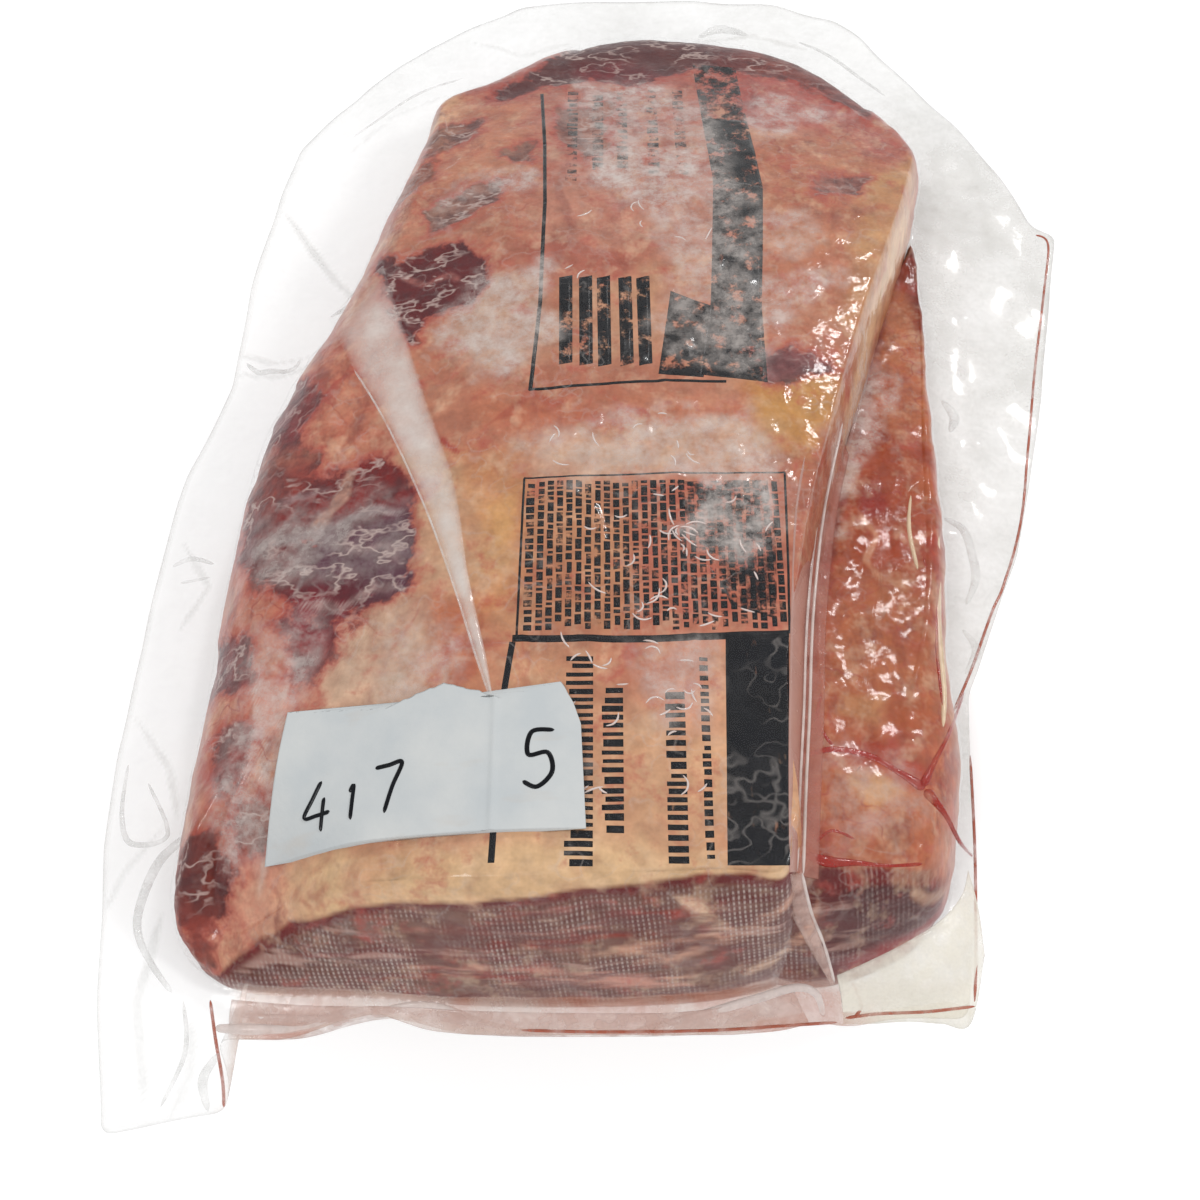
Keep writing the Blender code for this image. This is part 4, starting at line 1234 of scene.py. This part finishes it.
def make_gloss(name, tint, least, most, roughness):
    """Thick glossy fold of film, or juice under it: tinted, partly see-through, with faint waves."""
    material, tree = new_material(name)
    light, dark = ((*(linear(tint) * share), 1.0) for share in (1.0, 0.75))
    return surfaced(material, node(tree, "BsdfPrincipled", {
        "Base Color": blended(tree, noise(tree, 90, 3), light, dark),
        "Alpha": ranged(tree, noise(tree, 200, 3), 0.35, 0.65, least, most),
        "Roughness": ranged(tree, noise(tree, 120, 2), 0.3, 0.7, roughness, roughness + 0.1),
        "Normal": bumped(tree, noise(tree, 300, 2), 0.3, 0.0003),
    }))


pleat_film = make_film("pleat_film", 0.12, 0.2, 0.75, 1.15, 0.1)
# The first of these films is near white, a painted highlight on the ridge, the fold's edge, the lip's rolls
# and the crinkles.
glint_white_film, web_film, skirt_film, tent_film, lip_film, cream_film, juice, thin_juice, clear_roll = (
    make_gloss(*row) for row in (
        ("glint_white_film", (232, 216, 210), 0.55, 0.95, 0.1), ("web_film", (190, 146, 134), 0.9, 1.0, 0.2),
        ("skirt_film", (180, 116, 102), 0.25, 0.65, 0.1), ("tent_film", (246, 240, 226), 0.35, 0.75, 0.1),
        ("lip_film", (206, 172, 160), 0.2, 0.65, 0.1), ("cream_film", (232, 206, 172), 0.6, 0.95, 0.12),
        ("juice", (164, 40, 30), 0.4, 0.85, 0.06), ("thin_juice", (176, 84, 56), 0.4, 0.9, 0.1),
        ("clear_roll", (232, 232, 230), 0.12, 0.4, 0.06),
    )
)
PLEAT_LEFT = ((-88, 12), (-79, -8), (-69, -27), (-57, -55), (-48, -80), (-41, -102), (-37.5, -112))
PLEAT_RIGHT = ((-74, 31), (-67, 8), (-58, -22), (-49, -50), (-44, -78), (-39, -100), (-36.7, -112))
pleat_plan, pleat_share = between(PLEAT_LEFT, PLEAT_RIGHT, *PLEAT_GRID)
pleat_x, pleat_y = np.moveaxis(pleat_plan, 2, 0)
pleat_middle = np.sin(np.pi * pleat_share[..., 0])
pleat_rise = PLEAT_LIFT + PLEAT_CROWN * pleat_middle
pleat_grid = np.dstack([pleat_plan, cap_film_height(pleat_x, pleat_y) + pleat_rise])
left_pleat = clear_piece("left_pleat", [sheet_body(pleat_grid, SHEET_THICK)], pleat_film)
pleat_down = smooth(0.0, 0.16, np.linspace(0.0, 1.0, PLEAT_GRID[0]))[:, None]
pleat_veil = pleat_middle**0.7 * pleat_down * (0.52 + 0.25 * ripple(pleat_x, pleat_y, 9, 76, 3))
pleat_veil = np.concatenate([pleat_veil, pleat_veil[:, ::-1]], axis=1)
keep_veil(left_pleat, pleat_veil, plain_tone(pleat_veil, (214, 206, 200)))
roll_piece("pleat_edge", even_rolls([PLEAT_LEFT[1:]], 0.3), clear_roll, cap_film_height)
# Upper and lower edges of the film that bridges the crevice: x, y and z.
WEB_TOP = (
    (30.2, -155, 42.4), (31.4, -130, 45.6), (32.8, -110, 46.8), (35.0, -84, 47.4), (38.4, -55, 47.6),
     (46, -26, 45.4),
)
WEB_FOOT = (
    (32.4, -153, 37), (34.8, -131, 35.4), (37.2, -111, 34.6), (40.3, -82.5, 34), (45.8, -50, 32.4),
     (52, -25, 38.4),
)
clear_piece("crevice_web", [web(WEB_FOOT, WEB_TOP, (0.8, 0.0, 0.6))], web_film)
skirt = np.array(WEB_FOOT, float) + [5.5, 0.0, 0.0]
skirt[:, 2] = ledge_film_height(skirt[:, 0], skirt[:, 1]) + 0.3
clear_piece("crevice_skirt", [web(skirt, WEB_FOOT, (0, 0, -0.5))], skirt_film)
ridges = even_rolls([WEB_FOOT], 0.6) + even_rolls([[(x + 1.7, y, z - 0.6) for x, y, z in WEB_FOOT]], 0.4)
roll_piece("film_ridge", ridges, glint_white_film)
# Narrow fold that hangs from the ridge over the cut face, and its right edge painted near white as a
# highlight.
FOLD_LEFT = ((29.5, -153.5, 38.5), (32, -159, 27.5), (37, -164, 17.5), (42.6, -169, 7.6))
FOLD_RIGHT = ((33.5, -153.5, 38.5), (36.5, -158.5, 27.5), (40.4, -163, 17.5), (43.6, -168.6, 7.6))
clear_piece("cut_fold", [web(FOLD_LEFT, FOLD_RIGHT, (0, -0.8, 0.4), 6, 50)], lip_film)
roll_piece("fold_edge", even_rolls([FOLD_RIGHT], 0.4), glint_white_film)


def margin_top(x, y):
    """Height of the flat film's upper side."""
    return margin_height(x, y, nearest_rim(x, y))


# Film drawn out from the lower muscle's cut end to the near right corner.
TENT_TOP = (
    (44, -167.5, 9.5), (52, -164.5, 11.5), (61, -160.5, 13.5), (70, -154.5, 12), (76, -147.5, 9.5),
    (78.5, -141, 8.5),
)
TENT_FOOT = (
    (46, -176.5, 1.2), (53, -176.5, 1.2), (61, -176, 1.2), (69, -176.5, 1.2), (76, -176.5, 1.2),
    (81.5, -160, 1.4),
)
clear_piece("corner_tent", [web(TENT_FOOT, TENT_TOP, (0, 0, 2.4), 20)], tent_film)
# The near lip: film that leaves the foot of the cut face, dips and ends in a thin edge with red juice in it.
LIP_TOP = (
    (-98, -172.5, 7), (-80, -174, 7.5), (-60, -174, 6.5), (-40, -175.5, 8), (-15, -176, 8), (10, -175.5, 8),
    (34, -171, 8),
)
LIP_FOOT = (
    (-99, -180, 1.2), (-82, -180, 1.2), (-62, -175.4, 1.2), (-42, -179, 1.2), (-14, -179.6, 1.2),
    (14, -179, 1.2), (38, -176.5, 1.2),
)
# Rolls of film gathered along the lip: x, y, z and radius; they are painted near white as highlights.
LIP_ROLLS = (
    ((-4, -178.6, 2.4, 0.5), (8, -176.5, 5, 0.9), (24, -173, 8.4, 1.1), (34, -170.5, 9.6, 1.0),
     (39, -171.5, 8, 0.9), (41, -175.5, 3.6, 0.6)),
    ((-102, -178, 3, 0.9), (-95, -178.6, 4, 1.4), (-88, -178.6, 4, 1.3), (-81, -178, 3.6, 1.2),
     (-72, -175, 4.4, 1.1), (-62, -173.8, 4.4, 0.7)),
    ((-96, -175.5, 4.5, 0.6), (-86, -176.2, 5, 0.9), (-76, -176, 4.6, 0.7), (-66, -174, 4, 0.5)),
    ((-62, -174, 5, 0.5), (-55, -173.4, 6, 0.8), (-48, -174, 5.5, 0.8), (-38, -177, 3.4, 0.6),
     (-26, -179, 2.2, 0.4)),
)
clear_piece("near_lip", [web(LIP_FOOT, LIP_TOP, (0, -0.8, 0.6), 12, 160, 0.8)], lip_film)
roll_piece("film_rolls", LIP_ROLLS, glint_white_film)
# Lines of juice on the lower muscle's top: x, y and radius.
TOP_JUICE = (
    ((37.4, -121.5, 0.6), (44, -120, 0.8), (52.6, -121.5, 0.8), (59, -126, 0.8), (64.6, -130.4, 1.5)),
    ((35.4, -147, 0.8), (40, -148.6, 1.4), (46, -148.8, 0.8), (54, -149.4, 0.4), (62, -149, 0.5)),
    ((38, -144, 0.3), (42, -141, 0.4), (47, -143, 0.3)), ((44, -119, 0.4), (41, -112, 0.5),
     (42.6, -104, 0.3)),
)
# Lines on its rounded side, and on out to the flat film: x, y, z and radius.
SIDE_JUICE = (
    ((64.1, -129.9, 33.2, 1.2), (68.2, -122.6, 32.2, 0.7), (73, -114.1, 28.9, 0.5), (84.5, -90.3, 6, 0.35)),
    ((64.6, -130.8, 33.2, 1.5), (69.1, -135.8, 30.6, 0.7), (73.9, -139.3, 22.2, 0.5),
     (80.7, -136.4, 6, 0.4)),
    ((73.3, -61.2, 26.9, 0.4), (74.5, -75.8, 26.2, 0.7), (73.3, -90, 27.6, 0.5), (72.3, -106.5, 29.5, 0.3)),
)
juice_rolls = [roll(path, ledge_film_height, 0.3) for path in TOP_JUICE] + [roll(path) for path in SIDE_JUICE]
clear_piece("juice_runs", juice_rolls, juice)
TUBES = (
    ((78, -28.3, 21.8, 0.5), (78.8, -43.3, 22.3, 1.0), (77.4, -61, 23.6, 1.2), (74.8, -81.3, 25.7, 1.1),
     (73.4, -102, 28.2, 0.8), (71.6, -112.8, 30.2, 0.4)),
    ((72.6, -40, 25.3, 0.3), (70.5, -52.2, 27, 0.6), (71.1, -65.7, 27.9, 0.5)),
)
roll_piece("ledge_tubes", TUBES, cream_film)
SEAMS = (
    ((131, 82), (134, 76), (127, 46), (119, 12), (109, -32), (101, -54), (96, -64), (88, -82), (81, -96)),
    ((84, -108), (82, -132), (79.5, -154), (77, -172)), ((77, -173), (66, -174.5), (54, -175), (46, -176)),
    ((-103.5, -172), (-101.5, -180), (-98.6, -190), (-97.6, -196)),
    ((-30, -179), (-10, -179.4), (14, -179), (30, -178), (44, -177)), ((48, -168), (50, -173), (48, -176)),
)
roll_piece("seam_lines", even_rolls(SEAMS, 0.4), thin_juice, margin_top, 0.6)
LOOPS = (
    ((-115, -131, 1.0), (-121, -137, 1.3), (-124, -147, 1.2), (-123.6, -155, 1.0), (-119, -163, 0.8),
     (-113, -170, 0.6)),
    ((-133.6, -110, 0.4), (-132.8, -124, 0.6), (-129, -132, 0.8), (-120, -130, 0.6), (-127, -116, 0.4)),
    ((-131.6, -48, 0.5), (-126.6, -46, 0.8), (-119.6, -48.6, 0.5)), ((-120, -53, 0.4), (-128.6, -54, 0.5)),
    ((-120, 26, 0.5), (-115, 22, 1.0), (-106, 23, 0.7), (-103.6, 27, 0.4)), ((-96, 44, 0.4),
     (-89, 50, 0.8), (-82, 62, 0.4)),
    ((91, 10, 0.8), (94, 4, 1.6), (92, -2, 0.8)), ((86, -34, 0.6), (91, -38, 1.2), (93, -52, 1.3),
     (89, -62, 0.6)),
    ((87, -70, 0.5), (90, -76, 1.2), (86, -84, 0.6)), ((24, 180, 0.8), (32, 186, 1.8), (42, 182, 0.8)),
    ((60, 178, 0.4), (74, 166, 0.7), (88, 148, 0.4)), ((-96, 128, 0.3), (-78, 148, 0.5), (-60, 158, 0.3)),
    ((-100, -184, 0.7), (-103, -190, 1.2), (-101, -197, 0.6)), ((-110, -172, 0.4), (-108, -184, 0.6),
     (-112, -196, 0.4)),
)
roll_piece("film_loops", LOOPS, clear_roll, margin_top, 0.7)
# Plan box of each patch of short creases, painted near white as glints, and how many there are in it.
CRINKLE_PATCHES = (
    (-20, 14, -150, -98, 26), (2, 30, -94, -52, 22), (-24, 20, -48, -30, 10), (-16, 10, -92, -56, 12),
    (-24, 20, 20, 60, 8),
)
CRINKLE_ENDS, CRINKLE_MIDDLE = 0.12, 0.26
glint_crinkles = []
for low_x, high_x, low_y, high_y, many in CRINKLE_PATCHES:
    for _ in range(many):
        x, y = draws.uniform(low_x, high_x), draws.uniform(low_y, high_y)
        heading, bend = draws.uniform(0.0, 2 * np.pi), draws.uniform(-0.8, 0.8)
        stroke = draws.uniform(0.8, 2.0)
        path = [(x, y, CRINKLE_ENDS)]
        for radius in (CRINKLE_MIDDLE, CRINKLE_MIDDLE, CRINKLE_ENDS):
            x, y = x + stroke * np.cos(heading), y + stroke * np.sin(heading)
            heading += bend
            path.append((x, y, radius))
        glint_crinkles.append(roll(path, cap_film_height, 0.7, THIN_SIDES, THIN_STEP))
clear_piece("painted_crinkle_glints", glint_crinkles, glint_white_film)

# Paper label
# A torn piece of white paper lying on the film, folded once where a pleat of the bag lies under it.
LABEL_NEAR = ((-90.0, -146.5), (-14.7, -145.6))
LABEL_TORN = (
    (-86.2, -112.3), (-75, -113.2), (-61.8, -113.9), (-55, -111.2), (-48.4, -108.9), (-41, -111),
    (-34.9, -113.6), (-28, -111.6), (-20.7, -109.5), (-18, -114.5), (-16, -120.4),
)
LABEL_LIFT = 0.5
LABEL_THICK = 0.3
LABEL_CREASE_X = -36.0
LABEL_WAVES = (18, 92, 3)
LABEL_GRID = (220, 90)
across = np.linspace(0.0, 1.0, LABEL_GRID[0])[None, :]
up = np.linspace(0.0, 1.0, LABEL_GRID[1])[:, None]
torn_x, torn_y = np.array(LABEL_TORN).T
torn_share = (torn_x - torn_x[0]) / (torn_x[-1] - torn_x[0])
far_x, far_y = np.interp(across, torn_share, torn_x), np.interp(across, torn_share, torn_y)
far_y = far_y + 0.35 * ripple(across * 75, across * 0, 1.6, 91, 3)
near_x, near_y = (a + (b - a) * across for a, b in zip(*LABEL_NEAR))
label_x = near_x * (1 - up) + far_x * up
label_y = near_y * (1 - up) + far_y * up
label_z = cap_top(label_x, label_y) + LABEL_LIFT + 0.3 * ripple(label_x, label_y, *LABEL_WAVES)
label_z = label_z + 0.5 * np.exp(-(((label_x - LABEL_CREASE_X) / 0.9) ** 2)) + LABEL_THICK
label_grid = np.dstack([label_x, label_y, label_z])



def make_paper():
    """Plain white paper: faint grey clouds, a few warm smears, and fibres in its bump."""
    material, tree = new_material("label_paper")
    clouds = spots(tree, 0.35, 0.7, 1.0, 60, 4)
    white = dyed(tree, clouds, rgba((192, 197, 199)), (206, 208, 207))
    smears = spots(tree, 0.6, 0.75, 0.35, 45, 3, 0.6, (1, 3, 1))
    return surfaced(material, node(tree, "BsdfPrincipled", {
        "Base Color": dyed(tree, smears, white, (196, 184, 172)),
        "Roughness": ranged(tree, clouds, 0.0, 1.0, 0.7, 0.85),
        "Normal": bumped(tree, noise(tree, 110, 4), 0.35, 0.0012),
    }))


paper_body = sheet_body(label_grid[:, ::-1], LABEL_THICK)
piece("label_sheet", [paper_body], make_paper(), "paper_label")
# Plain numbers in pen on the label: strokes of each figure in a box one unit wide and 1.5 high.
PEN_FIGURES = {
    4: (((0.6, 1.5), (0.3, 1.0), (0.0, 0.5), (0.5, 0.5), (1.0, 0.55)), ((0.75, 1.0), (0.72, 0.5),
     (0.7, 0.0))),
    1: (((0.3, 1.2), (0.5, 1.5), (0.48, 0.8), (0.45, 0.0)),),
    7: (((0.0, 1.4), (0.5, 1.45), (1.0, 1.5), (0.7, 0.8), (0.45, 0.0)),),
    5: (((1.0, 1.5), (0.3, 1.45), (0.2, 0.85), (0.8, 0.9), (0.95, 0.4), (0.5, 0.0), (0.05, 0.15)),),
}
# Figure, left side, foot and width of each number, and how tall its box is for its width.
PEN_NUMBERS = (
    (4, -80.0, -142.0, 6.2), (1, -70.5, -140.6, 4.4), (7, -63.5, -140.0, 6.4), (5, -29.5, -135.6, 7.4),
)
PEN_TALL = 1.25
PEN_RADIUS = 0.56
PEN_FLAT = 0.25


def pen_height(x, y):
    """Height of the label's upper side."""
    return cap_top(x, y) + LABEL_LIFT + 0.3 * ripple(x, y, *LABEL_WAVES) + LABEL_THICK + 0.04


pen_ink = make_ink("pen_ink", 0.05, 0.15)
pen_strokes = []
for figure, left, foot, wide in PEN_NUMBERS:
    for stroke in PEN_FIGURES[figure]:
        path = [(left + x * wide, foot + y * wide * PEN_TALL, PEN_RADIUS) for x, y in stroke]
        pen_strokes.append(roll(path, pen_height, PEN_FLAT, THIN_SIDES, THIN_STEP))
piece("pen_marks", pen_strokes, pen_ink)

# Studio
# A plain white floor, white sky light, and three soft lamps whose reflections make glints on the film besides
# the painted ones.
FLOOR_HALF = 4.0
corners = [(-1, -1), (1, -1), (1, 1), (-1, 1)]
floor_mesh = bpy.data.meshes.new("floor")
floor_mesh.from_pydata([(x * FLOOR_HALF, y * FLOOR_HALF, 0.0) for x, y in corners], [], [(0, 1, 2, 3)])
floor = bpy.data.objects.new("floor", floor_mesh)
bpy.context.scene.collection.objects.link(floor)
floor_material, floor_tree = new_material("white_floor")
floor_shader = node(floor_tree, "BsdfPrincipled", {
    "Base Color": (0.95, 0.95, 0.95, 1.0), "Roughness": 0.9,
    "Emission Color": (1.0, 1.0, 1.0, 1.0), "Emission Strength": 0.18,
})
floor_mesh.materials.append(surfaced(floor_material, floor_shader))

# Clear film needs few bounces, and fewer keep the render short.
bounces = bpy.context.scene.cycles
bounces.max_bounces = 4
bounces.diffuse_bounces = 1
bounces.glossy_bounces = 1
world = bpy.data.worlds.new("studio_sky")
bpy.context.scene.world = world
world.use_nodes = True
sky = world.node_tree.nodes["Background"].inputs
sky["Color"].default_value = (1.0, 1.0, 1.0, 1.0)
sky["Strength"].default_value = 0.62


def soft_lamp(name, place, side, power):
    """A square area lamp at a place, aimed at the pack's middle; metres and watts."""
    data = bpy.data.lights.new(name, "AREA")
    data.size = side
    data.energy = power
    lamp = bpy.data.objects.new(name, data)
    lamp.location = place
    x, y, z = (-value for value in place)
    lamp.rotation_euler = (float(np.arctan2(np.hypot(x, y), -z)), 0.0, float(np.arctan2(y, x)) - np.pi / 2)
    bpy.context.scene.collection.objects.link(lamp)


soft_lamp("lamp_far", (0.5, 0.95, 1.15), 0.16, 3.2)
soft_lamp("lamp_right", (0.9, -0.1, 0.9), 0.2, 3.0)
soft_lamp("lamp_near", (-0.5, -0.5, 1.3), 0.35, 4.5)

camera_data = bpy.data.cameras.new("camera")
camera_data.lens = 45.0
camera_data.sensor_width = 36.0
camera_data.clip_start = 0.01
camera = bpy.data.objects.new("camera", camera_data)
camera.location = (-0.011599, -0.279393, 0.354854)
camera.rotation_euler = (np.radians(32.0), 0.0, 0.0)
bpy.context.scene.collection.objects.link(camera)
bpy.context.scene.camera = camera
bpy.context.scene.view_settings.view_transform = "Standard"
